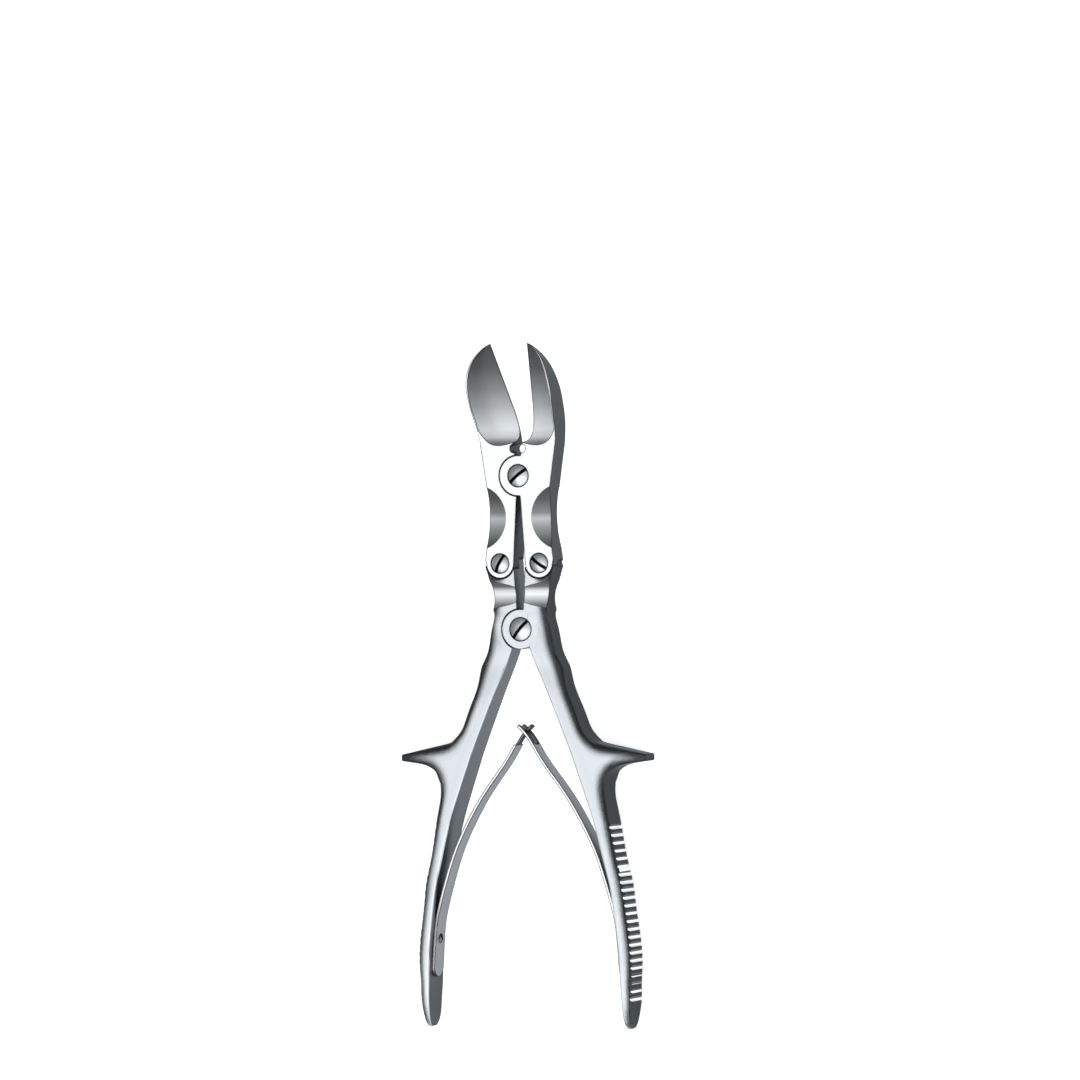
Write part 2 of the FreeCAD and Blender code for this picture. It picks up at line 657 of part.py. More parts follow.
def make_handle(name, blank, side, in_front):
    """A handle with its ring lap at the handle pivot and its arm's lap at the link screw."""
    link_x = "%d * sizes.link_side" % side
    link_y = "sizes.link_reach"
    pockets = [
        lap_pocket(name + "_ring_pocket", "handle_ring_radius", "ring_gap", "0", "0", not in_front),
        lap_pocket(name + "_link_pocket", "link_ring_radius", "link_gap", link_x, link_y, True),
    ]
    discs = [
        lap_disc(name + "_ring", "handle_ring_radius", "0", "0", in_front),
        lap_disc(name + "_link_lap", "link_ring_radius", link_x, link_y, False),
    ]
    body = fused(name + "_body", [cut(name + "_pocketed", blank, pockets)] + discs)
    holes = [screw_hole(name + "_link_hole", "link_shank", "thread_gap", link_x, link_y)]
    if in_front:
        holes.append(screw_hole(name + "_pivot_hole", "pivot_shank", "bearing_gap", "0", "0"))
        holes.append(head_seat(name + "_pivot_seat", "handle_screw_head", "0", "0"))
    else:
        holes.append(screw_hole(name + "_pivot_hole", "pivot_shank", "thread_gap", "0", "0"))
    return cut(name, body, holes)


# Screws
def domed_head(name, diameter, dome, edge, slot_width, slot_depth, shank, length):
    """A slotted screw along Z: head above the origin plane, shank below it."""
    stem = cylinder(name + "_shank", "sizes.%s / 2" % shank, length, "0", "0", "-(%s)" % length)
    disc = cylinder(name + "_disc", "sizes.%s / 2" % diameter, "%s + sizes.%s" % (edge, dome),
                    "0", "0", "0")
    ball = doc.addObject("Part::Sphere", name + "_dome")
    rim = "sizes.%s / 2" % diameter
    radius = "((%s) ^ 2 + sizes.%s ^ 2) / (2 * sizes.%s)" % (rim, dome, dome)
    bind(ball, {"Radius": radius, "Placement.Base.z": "%s + sizes.%s - %s" % (edge, dome, radius)})
    head = common(name + "_head", disc, ball)
    slot = doc.addObject("Part::Box", name + "_slot")
    bind(slot, {"Length": "2 * sizes.%s" % diameter, "Width": "sizes." + slot_width,
                "Height": "sizes.%s * 2" % slot_depth, "Placement.Base.x": "-sizes.%s" % diameter,
                "Placement.Base.y": "-sizes.%s / 2" % slot_width,
                "Placement.Base.z": "%s + sizes.%s - sizes.%s" % (edge, dome, slot_depth)})
    return cut(name, fused(name + "_solid", [head, stem]), [slot])


def pivot_screw(name, head, shank, x, y, slot_turn):
    """An upright screw whose head runs in its seat and whose end stays in from the back face."""
    length = "sizes.joint_thickness - sizes.head_sink + sizes.bearing_gap - sizes.end_recess"
    item = domed_head(name, head, "head_dome", "sizes.head_edge", "slot_width", "slot_depth", shank, length)
    seat = thickness - size("head_sink") + size("bearing_gap")
    item.Placement = Placement(Vector(x, y, seat), Rotation(UP, slot_turn))
    return item


def spring_screw(name, side, slot_turn):
    """A small screw that holds a spring on the inner side of its grip."""
    length = "sizes.spring_screw_depth + sizes.spring_thickness + 2 * sizes.spring_seat_gap"
    item = domed_head(name, "spring_screw_head", "spring_dome", "sizes.thread_gap", "spring_slot_width",
                      "spring_slot_depth", "spring_shank", length)
    frame = spring_screw_frame()
    rise = size("spring_thickness") + 2 * size("spring_seat_gap")
    place = frame.Base + frame.Rotation.multVec(Vector(0, 0, rise))
    outward = frame.Rotation.multVec(UP)
    if side < 0:
        place.x = -place.x
        outward.x = -outward.x
    item.Placement = Placement(place, Rotation(UP, outward) * Rotation(UP, slot_turn))
    return item


# Leaf springs
def spring_strip():
    """The right spring seen along Z: a thin band, free above and flat on the grip below."""
    grip = inner_line()
    half = size("spring_thickness") / 2
    seat = half + size("spring_seat_gap")
    tip = size("spring_tip_reach")
    meets = spring_screw_reach() - size("spring_seat_lead")
    stand = width_at(grip, -tip)
    points = []
    for way, distance in SPRING_LINE:
        y = -tip - way * (meets - tip)
        points.append(Vector(width_at(grip, y) - distance * stand, y, 0))
    for step in range(SEAT_STEPS):
        reach = meets + (spring_end() - meets) * step / (SEAT_STEPS - 1)
        place = station(grip, -reach, "y")
        along = grip.tangent(grip.parameter(place))[0]
        away = along.cross(UP)
        points.append(place + (away if away.x < 0 else -away) * seat)
    middle = spline(points)
    inner = []
    outer = []
    for point in points:
        across = middle.tangent(middle.parameter(point))[0].cross(UP).normalize()
        if across.x > 0:
            across = -across
        inner.append(point + across * half)
        outer.append(point - across * half)
    edges = [spline(inner).toShape(), line(inner[-1], outer[-1]), spline(outer).toShape(),
             line(outer[0], inner[0])]
    band = prism("spring_band", edges, UP, "2 * sizes.grip_depth")
    band.Base.Placement.Base.z = thickness / 2 - size("grip_depth")
    return band


def spring_side():
    """The spring seen from the side: slightly tapered, with a round lower end."""
    middle = thickness / 2
    top = size("spring_tip_reach") / 2
    half_top = size("spring_tip_width") / 2
    half_low = size("spring_width") / 2
    round_start = -spring_end() + half_low
    corners = [Vector(-MARGIN, round_start, middle - half_low), Vector(-MARGIN, -top, middle - half_top),
               Vector(-MARGIN, -top, middle + half_top), Vector(-MARGIN, round_start, middle + half_low)]
    bottom = Vector(-MARGIN, -spring_end(), middle)
    edges = polyline(corners) + [Part.Arc(corners[3], bottom, corners[0]).toShape()]
    return prism("spring_side", edges, Vector(1, 0, 0), "sizes.grip_side + %f" % MARGIN)


def fork_box(name, low, high):
    """A block across both springs' ends, between two heights."""
    block = doc.addObject("Part::Box", name)
    return bind(block, {"Length": "sizes.grip_side", "Width": "sizes.fork_reach",
                        "Height": "(%s) - (%s)" % (high, low),
                        "Placement.Base.x": "-sizes.grip_side / 2",
                        "Placement.Base.y": "-sizes.fork_reach", "Placement.Base.z": low})


def spring_hole(name, side):
    hole = doc.addObject("Part::Cylinder", name)
    bind(hole, {"Radius": "sizes.spring_shank / 2 + sizes.bearing_gap",
                "Height": "4 * sizes.spring_thickness"})
    frame = spring_screw_frame()
    place = frame.Base
    outward = frame.Rotation.multVec(UP)
    if side < 0:
        place.x = -place.x
        outward.x = -outward.x
    start = place - outward * size("spring_thickness")
    hole.Placement = Placement(start, Rotation(UP, outward))
    return hole


def make_springs():
    """Right spring with the fork, left spring with the tongue that passes through it."""
    blank = common("spring_blank", spring_strip(), spring_side())
    middle = "sizes.joint_thickness / 2"
    tongue = "sizes.tongue_width / 2"
    gap = fork_box("fork_slot", "%s - %s - sizes.fork_gap" % (middle, tongue),
                   "%s + %s + sizes.fork_gap" % (middle, tongue))
    right = cut("right_leaf_spring", blank, [gap, spring_hole("right_spring_hole", 1)])
    below = fork_box("tongue_below", "%s - sizes.grip_depth" % middle, "%s - %s" % (middle, tongue))
    above = fork_box("tongue_above", "%s + %s" % (middle, tongue), "%s + sizes.grip_depth" % middle)
    left = cut("left_leaf_spring", mirrored("left_spring_blank", blank),
               [below, above, spring_hole("left_spring_hole", -1)])
    return [left, right]


# Slot angles of the screws, in degrees from across the forceps
JAW_SLOT = 38.0
HANDLE_SLOT = 48.0
LEFT_LINK_SLOT = 61.0
RIGHT_LINK_SLOT = -36.0
SPRING_SLOT = 35.0

right_jaw_blank = jaw_blank()
right_handle_blank = handle_blank()
pieces = [
    make_jaw("left_jaw", mirrored("left_jaw_blank", right_jaw_blank), -1, False, "bearing_gap"),
    make_jaw("right_jaw", right_jaw_blank, 1, True, "open_pivot_gap"),
    make_handle("left_handle", mirrored("left_handle_blank", right_handle_blank), -1, False),
    make_handle("right_handle", right_handle_blank, 1, True),
    pivot_screw("jaw_pivot_screw", "jaw_screw_head", "pivot_shank", 0, size("jaw_pivot_reach"), JAW_SLOT),
    pivot_screw("handle_pivot_screw", "handle_screw_head", "pivot_shank", 0, 0, HANDLE_SLOT),
    pivot_screw("left_link_screw", "link_screw_head", "link_shank", -link_pin.x, link_pin.y, LEFT_LINK_SLOT),
    pivot_screw("right_link_screw", "link_screw_head", "link_shank", link_pin.x, link_pin.y, RIGHT_LINK_SLOT),
    spring_screw("left_spring_screw", -1, SPRING_SLOT),
    spring_screw("right_spring_screw", 1, SPRING_SLOT),
] + make_springs()

doc.recompute()
for item in doc.Objects:
    if "Invalid" in item.State or "Error" in item.State:
        raise RuntimeError("%s did not rebuild: %s" % (item.Name, item.State))
os.makedirs("parts", exist_ok=True)
for piece in pieces:
    piece.Label = piece.Name
    if piece.Shape.isNull() or not piece.Shape.isValid():
        raise RuntimeError("%s is not a valid solid" % piece.Name)
    if len(piece.Shape.Solids) != 1:
        raise RuntimeError("%s has %d solids" % (piece.Name, len(piece.Shape.Solids)))
for piece in pieces:
    piece.Shape.exportStep("parts/%s.step" % piece.Label)
    print("%s %.1f mm3" % (piece.Label, piece.Shape.Volume))
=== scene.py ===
"""Double action bone cutting forceps: steel finishes with painted shade and highlights, screws, leaf springs and
a plain studio.

Every piece keeps its frame node's place. Lengths are in metres, with X across the
forceps, Y towards the blade tips and Z up out of its front face.
"""

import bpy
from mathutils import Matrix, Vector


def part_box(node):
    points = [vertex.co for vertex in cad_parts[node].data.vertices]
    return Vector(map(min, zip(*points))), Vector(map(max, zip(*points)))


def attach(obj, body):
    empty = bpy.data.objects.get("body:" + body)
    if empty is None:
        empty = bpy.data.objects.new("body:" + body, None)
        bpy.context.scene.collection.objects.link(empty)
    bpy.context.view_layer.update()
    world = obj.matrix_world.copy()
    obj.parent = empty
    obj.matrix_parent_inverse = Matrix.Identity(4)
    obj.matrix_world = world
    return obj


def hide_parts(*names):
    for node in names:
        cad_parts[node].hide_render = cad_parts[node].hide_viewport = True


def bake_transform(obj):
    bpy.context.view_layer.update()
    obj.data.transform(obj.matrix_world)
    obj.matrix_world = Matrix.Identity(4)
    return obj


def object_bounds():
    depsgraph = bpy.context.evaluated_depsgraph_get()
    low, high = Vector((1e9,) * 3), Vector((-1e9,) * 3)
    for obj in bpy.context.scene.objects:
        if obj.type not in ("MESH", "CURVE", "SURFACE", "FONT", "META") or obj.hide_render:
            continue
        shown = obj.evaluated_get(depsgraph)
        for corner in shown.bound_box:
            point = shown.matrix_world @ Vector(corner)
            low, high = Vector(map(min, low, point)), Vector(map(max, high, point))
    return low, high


bl_info = {
    "name": "Bone Cutting Forceps",
    "version": (1, 0, 0),
    "blender": (4, 5, 0),
    "location": "3D View > Sidebar > Forceps",
    "description": "Builds the finishes, screws, springs and studio of a bone cutting forceps",
    "category": "Add Mesh",
}

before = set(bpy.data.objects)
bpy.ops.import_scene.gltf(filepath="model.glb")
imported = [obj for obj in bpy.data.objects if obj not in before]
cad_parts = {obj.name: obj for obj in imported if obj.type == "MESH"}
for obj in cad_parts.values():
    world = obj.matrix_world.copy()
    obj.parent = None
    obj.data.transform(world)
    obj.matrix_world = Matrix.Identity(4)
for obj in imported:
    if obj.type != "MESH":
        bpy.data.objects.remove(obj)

import math

import bmesh
import bpy
from bpy.props import FloatProperty, FloatVectorProperty, IntProperty, PointerProperty
from mathutils import Matrix, Vector
from mathutils.bvhtree import BVHTree

CAD_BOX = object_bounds()
MM = 0.001
UP = Vector((0, 0, 1))

JAWS = ("left_jaw", "right_jaw")
HANDLES = ("left_handle", "right_handle")


class ForcepsFinish(bpy.types.PropertyGroup):
    """Colours of the steel, with the painted shade for its sides, rounded bands, slots and edge lines."""
    jaw_face: FloatVectorProperty(
        name="Jaw face", description="Polished front and back of the jaws", subtype="COLOR",
        size=3, default=(0.985, 0.988, 0.99))
    # painted shade: dark colour for the jaws' sides and edge bands, which turn away from the light
    jaw_side_shade: FloatVectorProperty(
        name="Jaw side", description="Dark ground sides of the jaws", subtype="COLOR",
        size=3, default=(0.070, 0.076, 0.080))
    handle_face: FloatVectorProperty(
        name="Handle face", description="Satin front and back of the handles", subtype="COLOR",
        size=3, default=(0.75, 0.785, 0.81))
    # painted shade: dark colour for where a rounded handle edge turns away from the light
    handle_band_shade: FloatVectorProperty(
        name="Handle band", description="Dark turn of the rounded handle edges", subtype="COLOR",
        size=3, default=(0.045, 0.05, 0.054))
    # painted shade: darker colour for the handles' sides, which turn away from the light
    handle_side_shade: FloatVectorProperty(
        name="Handle side", description="Inner and outer sides of the handles", subtype="COLOR",
        size=3, default=(0.165, 0.178, 0.19))
    screw: FloatVectorProperty(
        name="Screw", description="Turned screw heads", subtype="COLOR",
        size=3, default=(0.62, 0.64, 0.655))
    # painted shade: near black for the inside of a slot
    slot: FloatVectorProperty(
        name="Slot", description="Shaded inside of a screw's slot", subtype="COLOR",
        size=3, default=(0.01, 0.01, 0.011))
    # painted shade: darker colour for the springs' sides, which turn away from the light
    spring: FloatVectorProperty(
        name="Spring", description="Inner and outer faces of the leaf springs", subtype="COLOR",
        size=3, default=(0.27, 0.285, 0.30))
    # painted shade: dark line where a surface turns over an edge
    line: FloatVectorProperty(
        name="Edge line", description="Dark line along the edges", subtype="COLOR",
        size=3, default=(0.02, 0.022, 0.025))


class ForcepsSizes(bpy.types.PropertyGroup):
    """Sizes of the screws and edges."""
    slot_width: FloatProperty(
        name="Slot width", description="Width of a screw's slot", unit="LENGTH", default=0.8 * MM)
    slot_depth: FloatProperty(
        name="Slot depth", description="Depth of a screw's slot", unit="LENGTH", default=1.9 * MM)
    edge_width: FloatProperty(
        name="Edge width", description="Width of the dark line along an edge", unit="LENGTH",
        default=0.85 * MM)
    shade_width: FloatProperty(
        name="Shade width", description="Width of the dark band inside a rounded handle edge", unit="LENGTH",
        default=10.0 * MM)
    screw_segments: IntProperty(
        name="Screw segments", description="Steps round a screw head", default=64)


class ForcepsStudio(bpy.types.PropertyGroup):
    """Camera and light."""
    camera_distance: FloatProperty(
        name="Camera distance", description="From the camera to the object", unit="LENGTH",
        default=2.6)
    camera_tilt: FloatProperty(
        name="Camera tilt", description="Lean of the camera from straight above to the right",
        subtype="ANGLE", default=math.radians(23.0))
    camera_roll: FloatProperty(
        name="Camera roll", description="Turn of the camera about its own line of sight",
        subtype="ANGLE", default=math.radians(-0.9))
    frame_width: FloatProperty(
        name="Frame width", description="Width of the picture at the object", unit="LENGTH",
        default=426.3 * MM)
    floor: FloatVectorProperty(
        name="Floor", description="Pale floor", subtype="COLOR", size=3, default=(0.88, 0.88, 0.88))


def finish():
    return bpy.context.scene.forceps_finish


def sizes():
    return bpy.context.scene.forceps_sizes


def studio():
    return bpy.context.scene.forceps_studio


# Shader parts
def node(tree, kind, place, **settings):
    item = tree.nodes.new(kind)
    item.location = place
    for name, value in settings.items():
        setattr(item, name, value)
    return item


def turn_shade_group():
    """Masks for painted shade where a surface turns from the front or back: the rounded band, then the upright
    side.
    """
    name = "Turn From Face"
    if name in bpy.data.node_groups:
        return bpy.data.node_groups[name]
    tree = bpy.data.node_groups.new(name, "ShaderNodeTree")
    for label, value in (("Band Start", 0.985), ("Band End", 0.6), ("Side Start", 0.45), ("Side End", 0.1)):
        socket = tree.interface.new_socket(label, in_out="INPUT", socket_type="NodeSocketFloat")
        socket.default_value = value
    for label in ("Band", "Side"):
        tree.interface.new_socket(label, in_out="OUTPUT", socket_type="NodeSocketFloat")
    source = node(tree, "NodeGroupInput", (-600, -200))
    geometry = node(tree, "ShaderNodeNewGeometry", (-800, 0))
    split = node(tree, "ShaderNodeSeparateXYZ", (-600, 0))
    size = node(tree, "ShaderNodeMath", (-400, 0), operation="ABSOLUTE")
    sink = node(tree, "NodeGroupOutput", (0, 0))
    link = tree.links.new
    link(geometry.outputs["Normal"], split.inputs[0])
    link(split.outputs["Z"], size.inputs[0])
    for label, height in (("Band", 100), ("Side", -200)):
        spread = node(tree, "ShaderNodeMapRange", (-200, height), interpolation_type="SMOOTHSTEP")
        link(size.outputs[0], spread.inputs["Value"])
        link(source.outputs[label + " Start"], spread.inputs["From Min"])
        link(source.outputs[label + " End"], spread.inputs["From Max"])
        link(spread.outputs["Result"], sink.inputs[label])
    return tree


def edge_line_shade_group():
    """Mask of the narrow painted shade line along every sharp edge."""
    name = "Edge Line"
    if name in bpy.data.node_groups:
        return bpy.data.node_groups[name]
    tree = bpy.data.node_groups.new(name, "ShaderNodeTree")
    width = tree.interface.new_socket("Width", in_out="INPUT", socket_type="NodeSocketFloat")
    width.default_value = 0.3 * MM
    tree.interface.new_socket("Mask", in_out="OUTPUT", socket_type="NodeSocketFloat")
    source = node(tree, "NodeGroupInput", (-800, 0))
    rounded = node(tree, "ShaderNodeBevel", (-600, 0), samples=8)
    geometry = node(tree, "ShaderNodeNewGeometry", (-600, -200))
    match = node(tree, "ShaderNodeVectorMath", (-400, 0), operation="DOT_PRODUCT")
    spread = node(tree, "ShaderNodeMapRange", (-200, 0), interpolation_type="SMOOTHSTEP")
    spread.inputs["From Min"].default_value = 0.988
    spread.inputs["From Max"].default_value = 0.955
    sink = node(tree, "NodeGroupOutput", (0, 0))
    link = tree.links.new
    link(source.outputs["Width"], rounded.inputs["Radius"])
    link(rounded.outputs["Normal"], match.inputs[0])
    link(geometry.outputs["Normal"], match.inputs[1])
    link(match.outputs["Value"], spread.inputs["Value"])
    link(spread.outputs["Result"], sink.inputs["Mask"])
    return tree


def outer_shade_group():
    """Mask of the soft painted shade band inside the outer edges, and none along the edge that looks inwards."""
    name = "Outer Shade"
    if name in bpy.data.node_groups:
        return bpy.data.node_groups[name]
    tree = bpy.data.node_groups.new(name, "ShaderNodeTree")
    for label, value in (("Width", 4.0 * MM), ("Outward", 1.0)):
        socket = tree.interface.new_socket(label, in_out="INPUT", socket_type="NodeSocketFloat")
        socket.default_value = value
    for label in ("Mask", "Inner"):
        tree.interface.new_socket(label, in_out="OUTPUT", socket_type="NodeSocketFloat")
    source = node(tree, "NodeGroupInput", (-1000, 0))
    geometry = node(tree, "ShaderNodeNewGeometry", (-800, -400))
    flat = node(tree, "ShaderNodeSeparateXYZ", (-600, -400))
    inward = node(tree, "ShaderNodeMath", (-400, -400), operation="MULTIPLY")
    inner = node(tree, "ShaderNodeMapRange", (-200, -400), interpolation_type="SMOOTHSTEP")
    inner.inputs["From Min"].default_value = 0.0
    inner.inputs["From Max"].default_value = -0.4
    rounded = node(tree, "ShaderNodeBevel", (-800, 0), samples=16)
    split = node(tree, "ShaderNodeSeparateXYZ", (-600, 0))
    size = node(tree, "ShaderNodeMath", (-400, 100), operation="ABSOLUTE")
    away = node(tree, "ShaderNodeMath", (-400, -100), operation="MULTIPLY")
    turned = node(tree, "ShaderNodeMapRange", (-200, 100), interpolation_type="SMOOTHSTEP")
    turned.inputs["From Min"].default_value = 0.9993
    turned.inputs["From Max"].default_value = 0.93
    outer = node(tree, "ShaderNodeMapRange", (-200, -150), interpolation_type="SMOOTHSTEP")
    outer.inputs["From Min"].default_value = -0.30
    outer.inputs["From Max"].default_value = -0.05
    both = node(tree, "ShaderNodeMath", (0, 0), operation="MULTIPLY")
    # no band round the pivot in the middle
    place = node(tree, "ShaderNodeTexCoord", (-800, 300))
    across = node(tree, "ShaderNodeSeparateXYZ", (-600, 300))
    reach = node(tree, "ShaderNodeMath", (-400, 300), operation="ABSOLUTE")
    clear = node(tree, "ShaderNodeMapRange", (-200, 300), interpolation_type="SMOOTHSTEP")
    clear.inputs["From Min"].default_value = 5.5 * MM
    clear.inputs["From Max"].default_value = 9.0 * MM
    banded = node(tree, "ShaderNodeMath", (100, 100), operation="MULTIPLY")
    sink = node(tree, "NodeGroupOutput", (200, 0))
    link = tree.links.new
    link(source.outputs["Width"], rounded.inputs["Radius"])
    link(rounded.outputs["Normal"], split.inputs[0])
    link(split.outputs["Z"], size.inputs[0])
    link(split.outputs["X"], away.inputs[0])
    link(source.outputs["Outward"], away.inputs[1])
    link(size.outputs[0], turned.inputs["Value"])
    link(away.outputs[0], outer.inputs["Value"])
    link(turned.outputs["Result"], both.inputs[0])
    link(outer.outputs["Result"], both.inputs[1])
    link(place.outputs["Object"], across.inputs[0])
    link(across.outputs["X"], reach.inputs[0])
    link(reach.outputs[0], clear.inputs["Value"])
    link(both.outputs[0], banded.inputs[0])
    link(clear.outputs["Result"], banded.inputs[1])
    link(banded.outputs[0], sink.inputs["Mask"])
    link(geometry.outputs["Normal"], flat.inputs[0])
    link(flat.outputs["X"], inward.inputs[0])
    link(source.outputs["Outward"], inward.inputs[1])
    link(inward.outputs[0], inner.inputs["Value"])
    link(inner.outputs["Result"], sink.inputs["Inner"])
    return tree


def length_group():
    """Place along the forceps in millimetres, from the handle pivot towards the tips."""
    name = "Along Forceps"
    if name in bpy.data.node_groups:
        return bpy.data.node_groups[name]
    tree = bpy.data.node_groups.new(name, "ShaderNodeTree")
    for label, value in (("Start", 0.0), ("End", 100.0)):
        socket = tree.interface.new_socket(label, in_out="INPUT", socket_type="NodeSocketFloat")
        socket.default_value = value
    tree.interface.new_socket("Share", in_out="OUTPUT", socket_type="NodeSocketFloat")
    source = node(tree, "NodeGroupInput", (-800, -200))
    place = node(tree, "ShaderNodeTexCoord", (-800, 0))
    split = node(tree, "ShaderNodeSeparateXYZ", (-600, 0))
    scale = node(tree, "ShaderNodeMath", (-400, 0), operation="MULTIPLY")
    scale.inputs[1].default_value = 1 / MM
    share = node(tree, "ShaderNodeMapRange", (-200, 0))
    sink = node(tree, "NodeGroupOutput", (0, 0))
    link = tree.links.new
    link(place.outputs["Object"], split.inputs[0])
    link(split.outputs["Y"], scale.inputs[0])
    link(scale.outputs[0], share.inputs["Value"])
    link(source.outputs["Start"], share.inputs["From Min"])
    link(source.outputs["End"], share.inputs["From Max"])
    link(share.outputs["Result"], sink.inputs["Share"])
    return tree


def grain_group():
    """Fine brushed grain: a height for bump and a small change of roughness."""
    name = "Brushed Grain"
    if name in bpy.data.node_groups:
        return bpy.data.node_groups[name]
    tree = bpy.data.node_groups.new(name, "ShaderNodeTree")
    pull = tree.interface.new_socket("Pull", in_out="INPUT", socket_type="NodeSocketVector")
    pull.default_value = (2500.0, 120.0, 2500.0)
    tree.interface.new_socket("Height", in_out="OUTPUT", socket_type="NodeSocketFloat")
    tree.interface.new_socket("Cloud", in_out="OUTPUT", socket_type="NodeSocketFloat")
    source = node(tree, "NodeGroupInput", (-800, -200))
    place = node(tree, "ShaderNodeTexCoord", (-800, 0))
    stretch = node(tree, "ShaderNodeVectorMath", (-600, 0), operation="MULTIPLY")
    lines = node(tree, "ShaderNodeTexNoise", (-400, 0))
    lines.inputs["Scale"].default_value = 1.0
    lines.inputs["Detail"].default_value = 3.0
    cloud = node(tree, "ShaderNodeTexNoise", (-400, -300))
    cloud.inputs["Scale"].default_value = 60.0
    cloud.inputs["Detail"].default_value = 2.0
    sink = node(tree, "NodeGroupOutput", (0, 0))
    link = tree.links.new
    link(place.outputs["Object"], stretch.inputs[0])
    link(source.outputs["Pull"], stretch.inputs[1])
    link(stretch.outputs[0], lines.inputs["Vector"])
    link(place.outputs["Object"], cloud.inputs["Vector"])
    link(lines.outputs[0], sink.inputs["Height"])
    link(cloud.outputs[0], sink.inputs["Cloud"])
    return tree


def steel(name, face, band, side, smooth, rough, bump=0.1, turn=None, outward=0):
    """Brushed steel: bright faces, with painted shade as a darker rounded band, its own darker side colour and
    dark edge lines.
    """
    material = bpy.data.materials.new(name)
    material.use_nodes = True
    tree = material.node_tree
    shader = tree.nodes["Principled BSDF"]
    turn_shade = node(tree, "ShaderNodeGroup", (-1000, 200), node_tree=turn_shade_group())
    for label, value in (turn or {}).items():
        turn_shade.inputs[label].default_value = value
    grain = node(tree, "ShaderNodeGroup", (-1000, -200), node_tree=grain_group())
    edge = node(tree, "ShaderNodeGroup", (-1000, 500), node_tree=edge_line_shade_group())
    edge.inputs["Width"].default_value = sizes().edge_width
    link = tree.links.new
    tone = node(tree, "ShaderNodeMix", (-800, 200), data_type="RGBA")
    tone.inputs["A"].default_value = (*face, 1)
    tone.inputs["B"].default_value = (*band, 1)
    if outward:
        shade = node(tree, "ShaderNodeGroup", (-1000, 0), node_tree=outer_shade_group())
        shade.inputs["Width"].default_value = sizes().shade_width
        shade.inputs["Outward"].default_value = outward
        link(shade.outputs["Mask"], tone.inputs["Factor"])
        within = node(tree, "ShaderNodeMath", (-800, -50), operation="MULTIPLY")
        link(shade.outputs["Inner"], within.inputs[0])
        link(turn_shade.outputs["Side"], within.inputs[1])
        side_shade_mask = within.outputs[0]
        along = node(tree, "ShaderNodeGroup", (-1000, -350), node_tree=length_group())
        along.inputs["Start"].default_value = -70.0
        along.inputs["End"].default_value = -150.0
    else:
        link(turn_shade.outputs["Band"], tone.inputs["Factor"])
        side_shade_mask = turn_shade.outputs["Side"]
    upright = node(tree, "ShaderNodeMix", (-600, 200), data_type="RGBA")
    link(tone.outputs["Result"], upright.inputs["A"])
    # painted shade: the side colour darkens to half towards the grip's end
    if outward:
        side_shade_fade = node(tree, "ShaderNodeMix", (-800, -300), data_type="RGBA")
        side_shade_fade.inputs["A"].default_value = (*side, 1)
        side_shade_fade.inputs["B"].default_value = (*(level * 0.5 for level in side), 1)
        link(along.outputs["Share"], side_shade_fade.inputs["Factor"])
        link(side_shade_fade.outputs["Result"], upright.inputs["B"])
    else:
        upright.inputs["B"].default_value = (*side, 1)
    link(side_shade_mask, upright.inputs["Factor"])
    lined = node(tree, "ShaderNodeMix", (-400, 200), data_type="RGBA")
    link(upright.outputs["Result"], lined.inputs["A"])
    lined.inputs["B"].default_value = (*finish().line, 1)
    link(edge.outputs["Mask"], lined.inputs["Factor"])
    link(lined.outputs["Result"], shader.inputs["Base Color"])
    gloss = node(tree, "ShaderNodeMapRange", (-400, -100))
    gloss.inputs["To Min"].default_value = smooth
    gloss.inputs["To Max"].default_value = rough
    dent = node(tree, "ShaderNodeBump", (-400, -400))
    dent.inputs["Strength"].default_value = bump
    dent.inputs["Distance"].default_value = 0.02 * MM
    link(grain.outputs["Cloud"], gloss.inputs["Value"])
    link(gloss.outputs["Result"], shader.inputs["Roughness"])
    link(grain.outputs["Height"], dent.inputs["Height"])
    link(dent.outputs["Normal"], shader.inputs["Normal"])
    shader.inputs["Metallic"].default_value = 1.0
    shader.inputs["Specular Tint"].default_value = (0.56, 0.57, 0.58, 1)
    return material


def painted_shade_steel(name, stops, metal, rough):
    """Ground hollow with painted shade and highlight, whose tone changes along the forceps. Each stop is a place
    in mm and a level.
    """
    material = bpy.data.materials.new(name)
    material.use_nodes = True
    tree = material.node_tree
    shader = tree.nodes["Principled BSDF"]
    first, last = stops[0][0], stops[-1][0]
    along = node(tree, "ShaderNodeGroup", (-1000, 0), node_tree=length_group())
    along.inputs["Start"].default_value = first
    along.inputs["End"].default_value = last
    tones = node(tree, "ShaderNodeValToRGB", (-800, 0))
    for number, (place_at, level) in enumerate(stops):
        share = (place_at - first) / (last - first)
        stop = tones.color_ramp.elements[0] if number == 0 else (
            tones.color_ramp.elements[-1] if number == len(stops) - 1 else tones.color_ramp.elements.new(share))
        stop.position = share
        stop.color = (level * 0.96, level * 0.985, level, 1)
    edge = node(tree, "ShaderNodeGroup", (-800, 300), node_tree=edge_line_shade_group())
    edge.inputs["Width"].default_value = sizes().edge_width
    lined = node(tree, "ShaderNodeMix", (-400, 100), data_type="RGBA")
    lined.inputs["B"].default_value = (*finish().line, 1)
    link = tree.links.new
    link(along.outputs["Share"], tones.inputs[0])
    link(tones.outputs[0], lined.inputs["A"])
    link(edge.outputs["Mask"], lined.inputs["Factor"])
    link(lined.outputs["Result"], shader.inputs["Base Color"])
    shader.inputs["Metallic"].default_value = metal
    shader.inputs["Roughness"].default_value = rough
    return material


